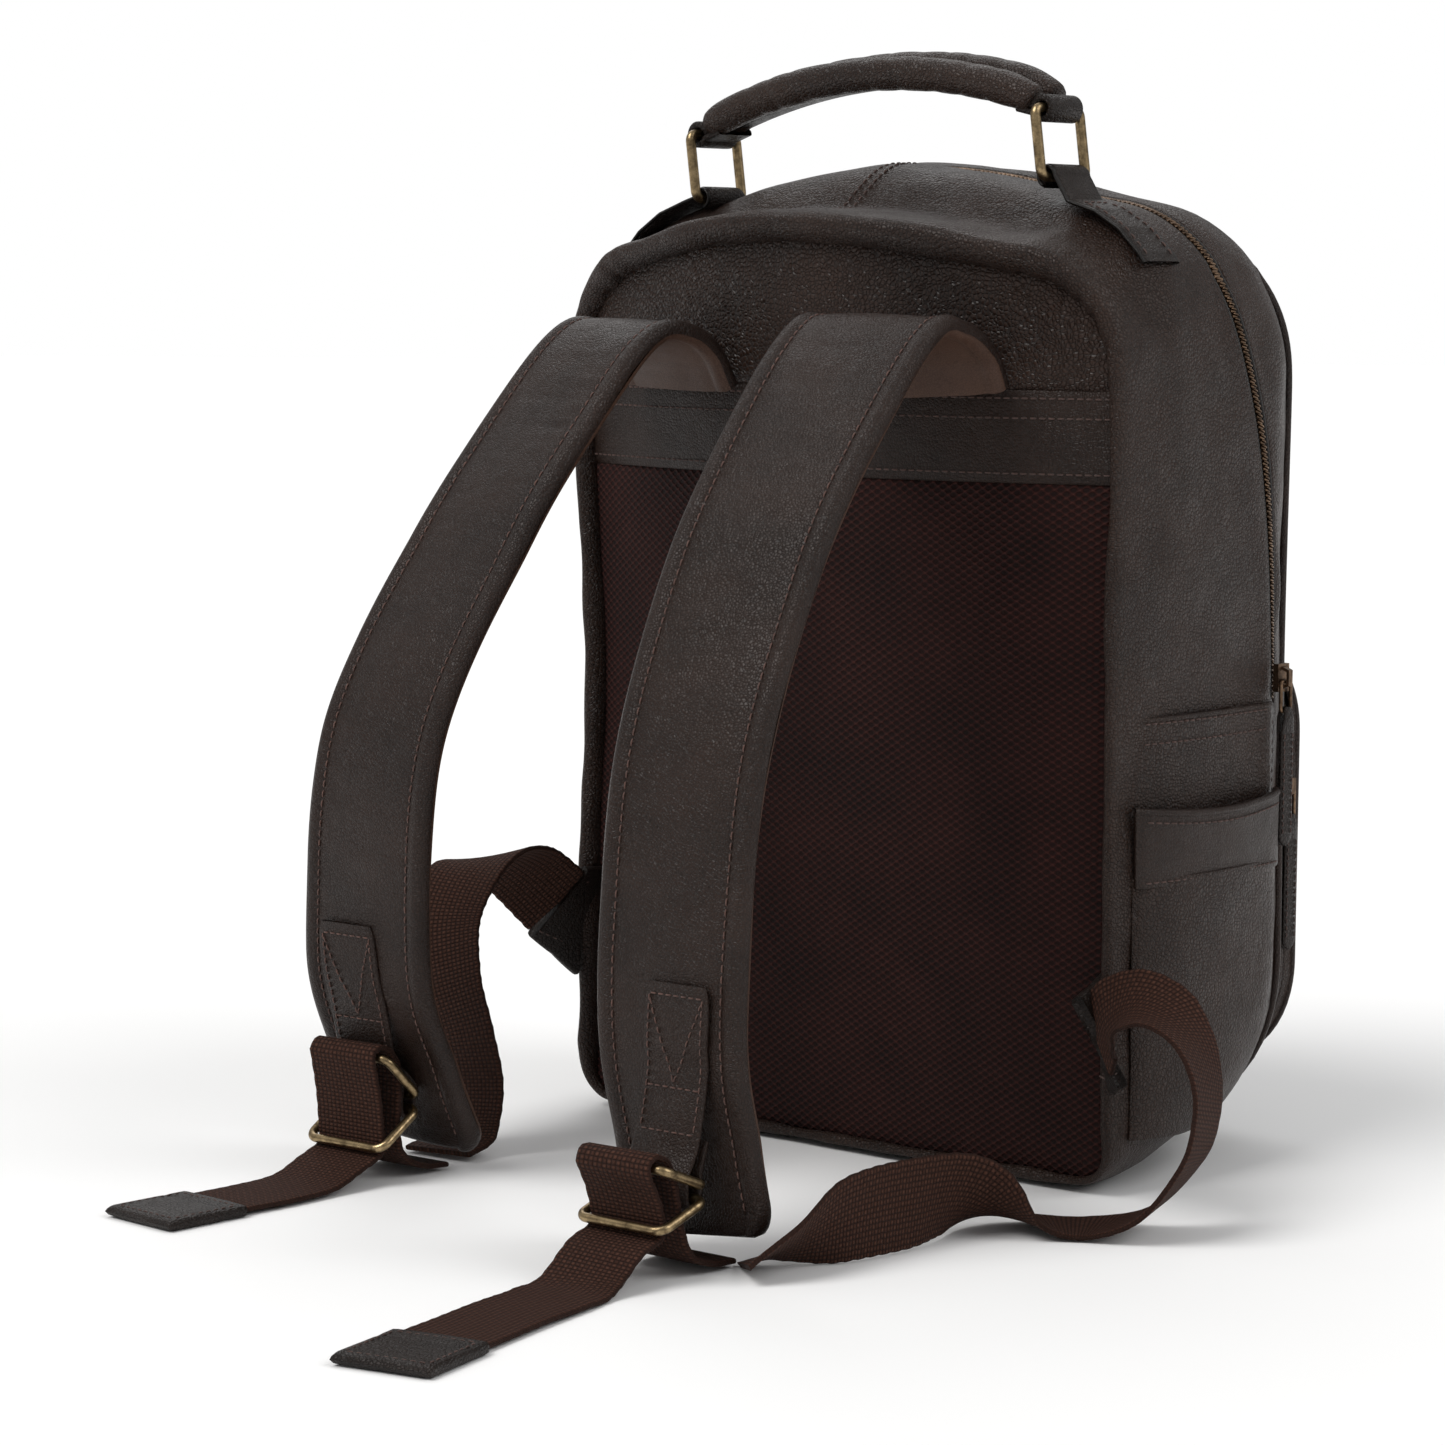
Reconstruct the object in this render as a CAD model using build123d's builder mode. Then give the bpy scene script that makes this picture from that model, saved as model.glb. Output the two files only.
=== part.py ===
"""Leather backpack with two shoulder straps, a ring-hung handle and webbing cinches.

Millimetres, +Z up. X runs across the bag, the wearer's side faces -Y and the front
pocket faces +Y. The origin is the centre of the flat base, on the ground.
"""
from build123d import *
import os
from math import cos, radians, sin

os.makedirs("parts", exist_ok=True)

# ---------------------------------------------------------------- driving dimensions
LEATHER = 1.8             # bag leather thickness
LINING = 0.8              # inner lining thickness
GAP = 0.3                 # air between layers

BACK_Y = -60.0            # back edge of the side leather
SEAM_Y = -62.0            # seam between the back panel and its edge roll
ZIP_Y = 50.0              # centre line of the main zipper
FRONT_Y = 72.0            # seam of the front panel
POCKET_Y = 94.0           # outer face of the front pocket

PANEL_HALF = 142.0        # half width of the back panel
PANEL_TOP = 382.0         # shoulder height of the back panel
PANEL_CROWN = 14.0        # rise of its top edge above the shoulders
PANEL_FOOT = 11.0         # lowest edge of the back panel
PANEL_CORNER = 42.0       # top corner radius of the back panel
BAND_LOW = 294.5          # leather band on the back panel, lower edge
BAND_HIGH = 332.5         # leather band on the back panel, upper edge
ROLL = 9.5                # width of the padded roll round the back panel
ROLL_PROUD = 8.0          # how far the roll stands behind the panel seam

# body cross-sections: depth y, half width, shoulder top, shoulder radius, crown, foot radius, foot
SECTIONS = [
    (-60.0, 151.0, 394.0, 50.0, 14.0, 16.0, 1.5),
    (-36.0, 154.0, 409.0, 60.0, 16.0, 34.0, -0.8),
    (-8.0, 154.5, 411.5, 62.0, 16.0, 50.0, -0.8),
    (20.0, 153.5, 413.0, 64.0, 16.0, 64.0, -0.8),
    (46.0, 151.0, 408.0, 66.0, 15.0, 78.0, 3.0),
    (FRONT_Y, 137.0, 397.0, 58.0, 13.0, 66.0, 8.0),
]
FRONT_SEAM = SECTIONS[-1]

# side view of the main zipper: depth and height of points on its centre line
ZIP_LINE = [(50.0, 205.0), (43.0, 262.0), (30.0, 318.0), (9.0, 366.0), (-8.0, 440.0)]
ZIP_END = 199.0           # height where the main zipper stops on each side
ZIP_WIDTH = 5.0           # width of the closed teeth
OVERLAY_TOP = 198.5       # top edge of the stitched side panel
POCKET_MOUTH = 161.5      # mouth of the side slip pocket
POCKET_BAND = 130.0       # lower edge of the slip pocket's band
POCKET_FLOOR = 62.0       # bottom of the slip pocket
POCKET_ROOM = 6.4         # clear depth of the slip pocket

WIRE = 4.4                # ring wire diameter
RING_WIDTH = 31.0         # handle ring, centre to centre along Y
RING_HEIGHT = 28.5        # handle ring, centre to centre upwards
RING_REACH = 95.0         # handle rings, distance from the middle of the bag
RING_Y = -35.0            # middle of the handle
RING_FOOT_LEFT = 412.8    # lower bar of the left ring
RING_FOOT_RIGHT = 420.4   # lower bar of the right ring
RING_LEAN = 8.0           # both rings lean this many degrees towards -X
BORE_PLAY = 0.35          # radial play of a leather loop round a wire

STRAP_WIDTH = 70.0
WEBBING = 37.0            # webbing width
WEBBING_THICK = 2.2

CINCH_WIDTH = 42.0        # cinch ring, centre to centre across the strap
CINCH_LEG = 26.0          # cinch ring, centre to centre along its legs


def save(solid, name):
    """Label one finished piece and write it to its own file."""
    solid.label = name
    export_step(solid, f"parts/{name}.step")


# ---------------------------------------------------------------- body cross-sections
def arch_face(section):
    """Upright face of one arch-shaped body cross-section with a crowned top."""
    y, half, top, radius, crown, foot_r, foot = section
    plane = Plane(origin=(0, y, 0), x_dir=(1, 0, 0), z_dir=(0, -1, 0))
    shoulder = top - radius
    with BuildSketch(plane) as sketch:
        with BuildLine():
            Line((-half + foot_r, foot), (half - foot_r, foot))
            CenterArc((half - foot_r, foot + foot_r), foot_r, -90, 90)
            Line((half, foot + foot_r), (half, shoulder))
            CenterArc((half - radius, shoulder), radius, 0, 90)
            ThreePointArc((half - radius, top), (0, top + crown), (-half + radius, top))
            CenterArc((-half + radius, shoulder), radius, 90, 90)
            Line((-half, shoulder), (-half, foot + foot_r))
            CenterArc((-half + foot_r, foot + foot_r), foot_r, 180, 90)
        make_face()
    return sketch.sketch.face()


def inset(section, by):
    """The same cross-section moved inwards by a distance, or outwards if negative."""
    y, half, top, radius, crown, foot_r, foot = section
    foot_r = max(foot_r - by, 2.0)
    return (y, half - by, top - by, radius - by, crown, foot_r, foot + by)


def shell(sections, outside, inside):
    """Closed arch-shaped skin between two insets of a run of cross-sections."""
    with BuildPart() as skin:
        loft([arch_face(inset(s, outside)) for s in sections])
        loft([arch_face(inset(s, inside)) for s in sections], mode=Mode.SUBTRACT)
    return skin.part


def keep_box(solid, low, high):
    """The part of a solid inside a box given by its low and high corners."""
    size = [b - a for a, b in zip(low, high)]
    with BuildPart() as kept:
        add(solid)
        with Locations(low):
            Box(*size, align=(Align.MIN, Align.MIN, Align.MIN), mode=Mode.INTERSECT)
    return kept.part


def cut_box(solid, low, high):
    """The part of a solid outside a box given by its low and high corners."""
    size = [b - a for a, b in zip(low, high)]
    with BuildPart() as kept:
        add(solid)
        with Locations(low):
            Box(*size, align=(Align.MIN, Align.MIN, Align.MIN), mode=Mode.SUBTRACT)
    return kept.part


FAR = 600.0


def zip_points(shift):
    """Side-view points of the main zipper's line, moved sideways by a distance."""
    moved = [(ZIP_LINE[0][0] + shift, ZIP_LINE[0][1])]
    for before, here, after in zip(ZIP_LINE, ZIP_LINE[1:], ZIP_LINE[2:] + ZIP_LINE[-1:]):
        run_y, run_z = after[0] - before[0], after[1] - before[1]
        length = (run_y ** 2 + run_z ** 2) ** 0.5
        moved.append((here[0] + shift * run_z / length, here[1] - shift * run_y / length))
    return moved


END_SLOPE = (ZIP_LINE[-1][0] - ZIP_LINE[-2][0], ZIP_LINE[-1][1] - ZIP_LINE[-2][1])


def zip_zone(rear, front):
    """Block through the whole bag between two lines that run along the main zipper."""
    with BuildPart() as zone:
        with BuildSketch(Plane.YZ):
            with BuildLine():
                for shift in (rear, front):
                    if abs(shift) < 100:
                        points = zip_points(shift)
                        Line((points[0][0], -10), points[0])
                        Spline(*points, tangents=[(0, 1), END_SLOPE])
                        foot, tip = (points[0][0], -10), points[-1]
                    else:
                        foot, tip = (shift, -10), (shift, ZIP_LINE[-1][1])
                        Line(foot, tip)
                    if shift == rear:
                        rear_foot, rear_tip = foot, tip
                Line(rear_foot, foot)
                Line(rear_tip, tip)
            make_face()
        extrude(amount=FAR, both=True)
    return zone.part


def meet(solid, other, mode=Mode.INTERSECT):
    """One solid cut by another."""
    with BuildPart() as cut:
        add(solid)
        add(other, mode=mode)
    return cut.part


# ---------------------------------------------------------------- body leather
BASE_HALF = 62.0          # half width of the separate base piece
BASE_RISE = 30.0          # height below which the base piece may lie
SLOT_HALF = 4.8           # half width of the gap that shows the zipper

# the skin's foot is trimmed flat where the bag stands
body_skin = keep_box(shell(SECTIONS, 0.0, LEATHER), (-FAR, -FAR, 0), (FAR, FAR, FAR))
zip_slot = keep_box(zip_zone(-SLOT_HALF, SLOT_HALF), (-FAR, -FAR, ZIP_END), (FAR, FAR, FAR))
rear_skin = meet(meet(body_skin, zip_zone(-FAR, -GAP / 2)), zip_slot, Mode.SUBTRACT)
front_skin = meet(meet(body_skin, zip_zone(GAP / 2, FAR)), zip_slot, Mode.SUBTRACT)
right_half = keep_box(rear_skin, (GAP / 2, -FAR, -10), (FAR, FAR, FAR))
left_half = keep_box(rear_skin, (-FAR, -FAR, -10), (-GAP / 2, FAR, FAR))
save(cut_box(right_half, (-1, -FAR, -10), (BASE_HALF, FAR, BASE_RISE)), "gusset_right")
save(cut_box(left_half, (-BASE_HALF, -FAR, -10), (1, FAR, BASE_RISE)), "gusset_left")
base_edge = BASE_HALF - GAP
save(keep_box(rear_skin, (-base_edge, -FAR, -10), (base_edge, FAR, BASE_RISE)), "base_panel")
save(front_skin, "front_gusset")

LINING_DEPTH = LEATHER + 4 * GAP
save(shell(SECTIONS, LINING_DEPTH + 0.4, LINING_DEPTH + 0.4 + LINING), "body_lining")

with BuildPart() as base_board:
    with BuildSketch(Plane.XY.offset(9.0)):
        with Locations((0, -5)):
            RectangleRounded(116, 92, 12)
    extrude(amount=2.0)
save(base_board.part, "base_board")

with BuildPart() as front_panel:
    front_outline = (FRONT_Y + GAP + LEATHER, *FRONT_SEAM[1:])
    extrude(arch_face(inset(front_outline, 0.4)), amount=LEATHER)
save(front_panel.part, "front_panel")

# ---------------------------------------------------------------- main zipper
TAPE = 0.8                # tape thickness
tape_skin = shell(SECTIONS, LEATHER + GAP, LEATHER + GAP + TAPE)
tape_band = keep_box(zip_zone(-7.0, 7.0), (-FAR, -FAR, ZIP_END), (FAR, FAR, FAR))
tape_pair = meet(meet(tape_skin, tape_band), zip_zone(-0.8, 0.8), Mode.SUBTRACT)
save(tape_pair, "main_zipper_tape")
teeth_skin = shell(SECTIONS, 0.5, LEATHER)
teeth_band = keep_box(zip_zone(-ZIP_WIDTH / 2, ZIP_WIDTH / 2), (-FAR, -FAR, ZIP_END), (FAR, FAR, FAR))
save(meet(teeth_skin, teeth_band), "main_zipper_teeth")


# ---------------------------------------------------------------- padded back
def bulge(height):
    """How far the stuffed back stands out of flat at its middle, at a height."""
    return 1.0 + 25.0 * sin(radians(90.0 * min(max(height / 345.0, 0.0), 1.12)))


BACK_LEVELS = [-2.0, 60.0, 130.0, 200.0, 270.0, 333.0, 380.0, 440.0]
BACK_EDGE = 165.0


def back_block(proud, inner_y):
    """Solid block behind the bag whose rear face bows out like the stuffed back."""
    faces = []
    for level in BACK_LEVELS:
        edge = SEAM_Y - proud
        with BuildSketch(Plane.XY.offset(level)) as sketch:
            with BuildLine():
                Line((-BACK_EDGE, inner_y), (BACK_EDGE, inner_y))
                Line((BACK_EDGE, inner_y), (BACK_EDGE, edge))
                Line((BACK_EDGE, edge), (PANEL_HALF, edge))
                middle = (0, edge - bulge(level))
                ThreePointArc((PANEL_HALF, edge), middle, (-PANEL_HALF, edge))
                Line((-PANEL_HALF, edge), (-BACK_EDGE, edge))
                Line((-BACK_EDGE, edge), (-BACK_EDGE, inner_y))
            make_face()
        faces.append(sketch.sketch.face())
    with BuildPart() as block:
        loft(faces, ruled=True)
    return block.part


def arch_block(grow, foot):
    """Block through the bag with the back panel's arch outline, grown by a distance."""
    outline = (
        0.0, PANEL_HALF + grow, PANEL_TOP + grow, PANEL_CORNER + grow,
        PANEL_CROWN, 14.0 + grow, foot,
    )
    with BuildPart() as block:
        extrude(arch_face(outline), amount=200, both=True)
    return block.part


panel_skin = meet(back_block(0.0, -59.8), back_block(-1.4, -50.0), Mode.SUBTRACT)
panel_skin = meet(panel_skin, arch_block(-GAP, PANEL_FOOT))
mesh_low = (-FAR, -FAR, 0)
save(keep_box(panel_skin, mesh_low, (FAR, FAR, BAND_LOW - GAP / 2)), "mesh_back_panel")
band_low = (-FAR, -FAR, BAND_LOW + GAP / 2)
save(keep_box(panel_skin, band_low, (FAR, FAR, BAND_HIGH - GAP / 2)), "strap_anchor_band")
yoke_low = (-FAR, -FAR, BAND_HIGH + GAP / 2)
save(keep_box(panel_skin, yoke_low, (FAR, FAR, FAR)), "back_yoke")
save(meet(back_block(-1.6, -59.8), arch_block(-2.0, PANEL_FOOT + 2)), "back_foam_pad")

with BuildPart() as back_board:
    board_outline = (-57.6, 138.0, 378.0, 38.0, PANEL_CROWN, 12.0, 14.0)
    extrude(arch_face(board_outline), amount=1.8)
save(back_board.part, "back_board")

DIVIDER_Y = -36.0
with BuildPart() as laptop_divider:
    divider_outline = (DIVIDER_Y, 130.0, 290.0, 14.0, 4.0, 30.0, 12.0)
    extrude(arch_face(divider_outline), amount=2.0)
save(laptop_divider.part, "laptop_divider")

# padded roll of leather that frames the back panel
roll_ring = meet(back_block(ROLL_PROUD, BACK_Y - 0.2), arch_block(ROLL, 1.0))
roll_ring = meet(roll_ring, arch_block(GAP, PANEL_FOOT - GAP), Mode.SUBTRACT)
save(keep_box(roll_ring, (GAP / 2, -FAR, -10), (FAR, FAR, FAR)), "edge_roll_right")
save(keep_box(roll_ring, (-FAR, -FAR, -10), (-GAP / 2, FAR, FAR)), "edge_roll_left")

# ---------------------------------------------------------------- side panels and slip pockets
OVERLAY_OUT = 0.2         # the side panel lies on the gusset with this play
OVERLAY = 1.6             # side panel thickness
ROOM_IN = OVERLAY_OUT + OVERLAY + GAP
ROOM_OUT = ROOM_IN + POCKET_ROOM
WALL_BACK = -59.4         # back edge of the slip pocket
WALL_FRONT = 43.4         # front edge of the slip pocket
HEM = 4.0                 # width of the pocket's sewn edges

overlay_ring = shell(SECTIONS, -OVERLAY_OUT - OVERLAY, -OVERLAY_OUT)
wall_ring = shell(SECTIONS, -ROOM_OUT - OVERLAY, -ROOM_OUT)
hem_ring = shell(SECTIONS, -ROOM_OUT, -ROOM_IN)


def side_piece(ring, low, high, side):
    """The part of a body ring on one side, between two corners given for +X."""
    x_low, x_high = sorted((side * low[0], side * high[0]))
    return keep_box(ring, (x_low, low[1], low[2]), (x_high, high[1], high[2]))


for side, word in ((1, "right"), (-1, "left")):
    overlay = side_piece(overlay_ring, (100, -59.5, 70), (FAR, 44.0, OVERLAY_TOP), side)
    save(overlay, f"side_panel_{word}")
    wall_low = (100, WALL_BACK, POCKET_FLOOR)
    hem_top = POCKET_MOUTH - 2
    with BuildPart() as pocket:
        add(side_piece(wall_ring, wall_low, (FAR, WALL_FRONT, POCKET_BAND - GAP), side))
        add(side_piece(hem_ring, wall_low, (FAR, WALL_BACK + HEM, hem_top), side))
        front_hem = (100, WALL_FRONT - HEM, POCKET_FLOOR)
        add(side_piece(hem_ring, front_hem, (FAR, WALL_FRONT, hem_top), side))
        add(side_piece(hem_ring, wall_low, (FAR, WALL_FRONT, POCKET_FLOOR + HEM), side))
    save(pocket.part, f"side_pocket_{word}")
    band_foot = (100, WALL_BACK, POCKET_BAND)
    band = side_piece(wall_ring, band_foot, (FAR, WALL_FRONT, POCKET_MOUTH), side)
    save(band, f"side_pocket_band_{word}")

# ---------------------------------------------------------------- front pocket
POCKET_HALF = 132.0
POCKET_ZIP_Y = 84.0       # depth of the front pocket's zipper
POCKET_ZIP_END = 150.0    # height where it stops on each side
POCKET_START = FRONT_Y + GAP + LEATHER + GAP
POCKET_OUTLINE = (POCKET_START, POCKET_HALF, 226.0, 42.0, 10.0, 44.0, 30.0)
POCKET_END_OUTLINE = (POCKET_Y - LEATHER - GAP, *POCKET_OUTLINE[1:])

pocket_sections = [POCKET_OUTLINE, POCKET_END_OUTLINE]
pocket_skin = shell(pocket_sections, 0.0, LEATHER)
slot_low = (-FAR, POCKET_ZIP_Y - SLOT_HALF, POCKET_ZIP_END)
slot_high = (FAR, POCKET_ZIP_Y + SLOT_HALF, FAR)
save(cut_box(pocket_skin, slot_low, slot_high), "front_pocket_gusset")
pocket_tape = shell(pocket_sections, LEATHER + GAP, LEATHER + GAP + TAPE)
tape_low = (-FAR, POCKET_ZIP_Y - 7.0, POCKET_ZIP_END)
pocket_tape = keep_box(pocket_tape, tape_low, (FAR, POCKET_ZIP_Y + 7.0, FAR))
split_low = (-FAR, POCKET_ZIP_Y - 0.8, 0)
pocket_tape = cut_box(pocket_tape, split_low, (FAR, POCKET_ZIP_Y + 0.8, FAR))
save(pocket_tape, "pocket_zipper_tape")
pocket_teeth = shell(pocket_sections, 0.5, LEATHER)
teeth_low = (-FAR, POCKET_ZIP_Y - ZIP_WIDTH / 2, POCKET_ZIP_END)
pocket_teeth = keep_box(pocket_teeth, teeth_low, (FAR, POCKET_ZIP_Y + ZIP_WIDTH / 2, FAR))
save(pocket_teeth, "pocket_zipper_teeth")
with BuildPart() as pocket_front:
    extrude(arch_face(inset((POCKET_Y, *POCKET_OUTLINE[1:]), 0.3)), amount=LEATHER)
save(pocket_front.part, "front_pocket_panel")


# ---------------------------------------------------------------- zipper sliders and pulls
SLIDER_LONG = 12.0
SLIDER_WIDE = 8.4
PULL_LONG = 62.0
PULL_WIDE = 9.0
PULL_THICK = 3.0
LINK_WIRE = 1.6


def slider_set(name, face_x, y, foot_z):
    """Slider, wire link and leather pull on a zipper whose teeth face +X."""
    plate_in = face_x + GAP
    side_view = Plane(origin=(0, y, 0), x_dir=(1, 0, 0), z_dir=(0, -1, 0))
    with BuildPart() as slider:
        with Locations((plate_in, y, foot_z)):
            Box(1.6, SLIDER_WIDE, SLIDER_LONG, align=(Align.MIN, Align.CENTER, Align.MIN))
        for flange in (-1, 1):
            with Locations((plate_in - 1.0, y + flange * (SLIDER_WIDE / 2 - 0.5), foot_z)):
                Box(1.0, 1.0, SLIDER_LONG, align=(Align.MIN, Align.CENTER, Align.MIN))
        with BuildSketch(side_view):
            with BuildLine():
                Polyline(
                    (plate_in + 1.4, foot_z + 1.0), (plate_in + 5.2, foot_z + 2.6),
                    (plate_in + 5.2, foot_z + 9.4), (plate_in + 1.4, foot_z + 11.0),
                    (plate_in + 1.4, foot_z + 9.6), (plate_in + 4.0, foot_z + 8.6),
                    (plate_in + 4.0, foot_z + 3.4), (plate_in + 1.4, foot_z + 2.4),
                    close=True,
                )
            make_face()
        extrude(amount=1.5, both=True)
    save(slider.part, f"{name}_slider")
    bar = (plate_in + 2.85, y, foot_z + 4.6)
    with BuildSketch(Plane(origin=bar, x_dir=(0, 1, 0), z_dir=(1, 0, 0))) as outline:
        with Locations((0, -6.5)):
            RectangleRounded(7.4, 13.0, 1.6)
    path = outline.sketch.face().outer_wire()
    with BuildPart() as link:
        with BuildSketch(Plane(origin=path @ 0, z_dir=path % 0)):
            Circle(LINK_WIRE / 2)
        sweep(path=path)
    save(link.part, f"{name}_pull_link")
    low_bar = (bar[0], y, bar[2] - 13.0)
    with BuildPart() as pull:
        with BuildSketch(Plane(origin=low_bar, x_dir=(1, 0, 0), z_dir=(0, -1, 0))):
            with Locations((0, -PULL_LONG / 2 + 1)):
                RectangleRounded(PULL_THICK, PULL_LONG, 1.2)
            Circle(2.3)
            Circle(LINK_WIRE / 2 + 0.2, mode=Mode.SUBTRACT)
        extrude(amount=2.3, both=True)
        with BuildSketch(Plane(origin=low_bar, x_dir=(0, 1, 0), z_dir=(1, 0, 0))):
            with Locations((0, -PULL_LONG / 2 - 2.5)):
                RectangleRounded(PULL_WIDE, PULL_LONG - 8, 1.5)
        extrude(amount=PULL_THICK / 2, both=True)
    save(pull.part, f"{name}_pull_tab")


slider_set("main", 151.2, ZIP_Y, 203.0)
slider_set("pocket", POCKET_HALF, POCKET_ZIP_Y, 152.0)


# ---------------------------------------------------------------- handle
def wire_ring(plane, width, height, wire, corner):
    """Closed wire ring whose lower bar is centred on the plane's origin."""
    with BuildSketch(plane) as outline:
        with Locations((0, height / 2)):
            RectangleRounded(width, height, corner)
    path = outline.sketch.face().outer_wire()
    with BuildPart() as ring:
        with BuildSketch(Plane(origin=path @ 0, z_dir=path % 0)):
            Circle(wire / 2)
        sweep(path=path)
    return ring.part


TAB_WIDE = 22.0           # leather tabs through the handle rings
TAB_WALL = 1.8
BORE = WIRE / 2 + BORE_PLAY
LOOP = BORE + TAB_WALL
lean = radians(RING_LEAN)
with BuildPart() as body_solid:
    loft([arch_face(inset(s, -0.4)) for s in SECTIONS])
tab_ring = shell(SECTIONS, -0.4 - TAB_WALL, -0.4)
TAB_END_X = 149.0
TAB_END_Z = 382.0

tops = {}
for side, word, foot_z in ((1, "right", RING_FOOT_RIGHT), (-1, "left", RING_FOOT_LEFT)):
    foot_x = side * RING_REACH
    ring_plane = Plane(
        origin=(foot_x, RING_Y, foot_z), x_dir=(0, 1, 0), z_dir=(cos(lean), 0, sin(lean))
    )
    save(wire_ring(ring_plane, RING_WIDTH, RING_HEIGHT, WIRE, 3.4), f"handle_ring_{word}")
    tops[word] = (foot_x - RING_HEIGHT * sin(lean), foot_z + RING_HEIGHT * cos(lean))
    cross = Plane(origin=(0, RING_Y, 0), x_dir=(1, 0, 0), z_dir=(0, -1, 0))
    with BuildPart() as anchor:
        with BuildSketch(cross):
            with Locations((foot_x, foot_z)):
                Circle(LOOP)
            with BuildLine():
                Polyline(
                    (foot_x - side * LOOP, foot_z), (foot_x - side * 3.0, foot_z - 12),
                    (foot_x + side * 14.0, foot_z - 16), (foot_x + side * LOOP, foot_z),
                    close=True,
                )
            make_face()
        extrude(amount=TAB_WIDE / 2, both=True)
        add(body_solid.part, mode=Mode.SUBTRACT)
        strip_low = (RING_REACH, RING_Y - TAB_WIDE / 2, TAB_END_Z)
        add(side_piece(tab_ring, strip_low, (TAB_END_X, RING_Y + TAB_WIDE / 2, FAR), side))
        with BuildSketch(cross):
            with Locations((foot_x, foot_z)):
                Circle(BORE)
        extrude(amount=TAB_WIDE, both=True, mode=Mode.SUBTRACT)
    save(anchor.part, f"handle_anchor_{word}")

ROLL_RADIUS = 7.3
ROLL_APART = 7.5          # each roll's centre from the middle of the handle
ROLL_INSET = 9.0         # rolls start this far inside the ring bars
FAR_ROLL_RISE = 3.0       # the roll on the front side sits higher
ARCH_RISE = 16.5          # height of the handle's middle above its ends
left_top, right_top = tops["left"], tops["right"]
mid_x = (left_top[0] + right_top[0]) / 2
mid_z = (left_top[1] + right_top[1]) / 2 + ARCH_RISE

with BuildPart() as handle_strap:
    strap_cross = Plane(origin=(0, RING_Y, 0), x_dir=(1, 0, 0), z_dir=(0, -1, 0))
    with BuildSketch(strap_cross):
        with BuildLine():
            for shift in (-2.0, 2.0):
                start = (left_top[0], left_top[1] + shift)
                end = (right_top[0], right_top[1] + shift)
                ThreePointArc(start, (mid_x, mid_z + shift), end)
            Line((left_top[0], left_top[1] - 2), (left_top[0], left_top[1] + 2))
            Line((right_top[0], right_top[1] - 2), (right_top[0], right_top[1] + 2))
        make_face()
        with Locations(left_top, right_top):
            Circle(LOOP + 0.6)
        with Locations(left_top, right_top):
            Circle(BORE, mode=Mode.SUBTRACT)
    extrude(amount=TAB_WIDE / 2, both=True)
save(handle_strap.part, "handle_strap")

for word, offset_y, rise in (("rear", -ROLL_APART, 0.0), ("front", ROLL_APART, FAR_ROLL_RISE)):
    roll_cross = Plane(origin=(0, RING_Y + offset_y, rise), x_dir=(1, 0, 0), z_dir=(0, -1, 0))
    start = (left_top[0] + ROLL_INSET, left_top[1] + 3.0)
    end = (right_top[0] - ROLL_INSET, right_top[1] + 3.0)
    with BuildPart() as roll:
        with BuildLine(roll_cross) as roll_path:
            ThreePointArc(start, (mid_x, mid_z + 0.5), end)
        with BuildSketch(Plane(origin=roll_path.line @ 0, z_dir=roll_path.line % 0)):
            Circle(ROLL_RADIUS)
        sweep(path=roll_path.line)
        with BuildSketch(strap_cross):
            with BuildLine():
                for shift in (-2.3, 2.3):
                    start = (left_top[0], left_top[1] + shift)
                    end = (right_top[0], right_top[1] + shift)
                    ThreePointArc(start, (mid_x, mid_z + shift), end)
                Line((left_top[0], left_top[1] - 2.3), (left_top[0], left_top[1] + 2.3))
                Line((right_top[0], right_top[1] - 2.3), (right_top[0], right_top[1] + 2.3))
            make_face()
        extrude(amount=TAB_WIDE / 2 + GAP, both=True, mode=Mode.SUBTRACT)
    save(roll.part, f"handle_roll_{word}")


# ---------------------------------------------------------------- bands of webbing and padding
def with_course(stations):
    """Adds to each station the direction in which the band runs there."""
    last = len(stations) - 1
    full = []
    for count, (place, across) in enumerate(stations):
        before = Vector(*stations[max(count - 1, 0)][0])
        after = Vector(*stations[min(count + 1, last)][0])
        full.append((place, across, (after - before).normalized()))
    return full


def ribbon(stations, width, low, high):
    """Band of rectangular section through stations of place, across and course."""
    faces = []
    for count, (place, across, course) in enumerate(stations):
        wide = width[count] if isinstance(width, list) else width
        frame = Plane(origin=place, x_dir=across, z_dir=course)
        with BuildSketch(frame) as section:
            with Locations((0, (low + high) / 2)):
                Rectangle(wide, high - low)
        faces.append(section.sketch.face())
    with BuildPart() as band:
        loft(faces, ruled=True)
    return band.part


def strap_stations(route, yaw_top, yaw_foot, count):
    """Evenly spaced stations along a strap's smooth centre line."""
    with BuildLine() as line:
        Spline(*route)
    stations = []
    for step in range(count + 1):
        share = step / count
        place = line.line @ share
        yaw = radians(yaw_top + (yaw_foot - yaw_top) * share)
        stations.append(((place.X, place.Y, place.Z), (cos(yaw), sin(yaw), 0)))
    return with_course(stations)


STRAP_ROUTES = {
    "right": [
        (68, -86, 334), (69, -96, 349), (70, -115, 360), (72, -138, 360), (75, -172, 331),
        (79, -221, 270), (84, -260, 190), (89, -275, 95), (93, -270, 45), (97, -264, 9),
    ],
    "left": [
        (-68, -86, 334), (-69, -95, 348), (-70, -112, 358), (-73, -133, 357), (-77, -162, 330),
        (-84, -208, 270), (-94, -250, 190), (-102, -251, 95), (-107, -230, 45), (-112, -209, 9),
    ],
}
STRAP_YAW = {"right": (13.0, 1.0), "left": (-10.0, 2.0)}
STRAP_LEATHER = 1.8
STRAP_THICK = 9.0

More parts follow.
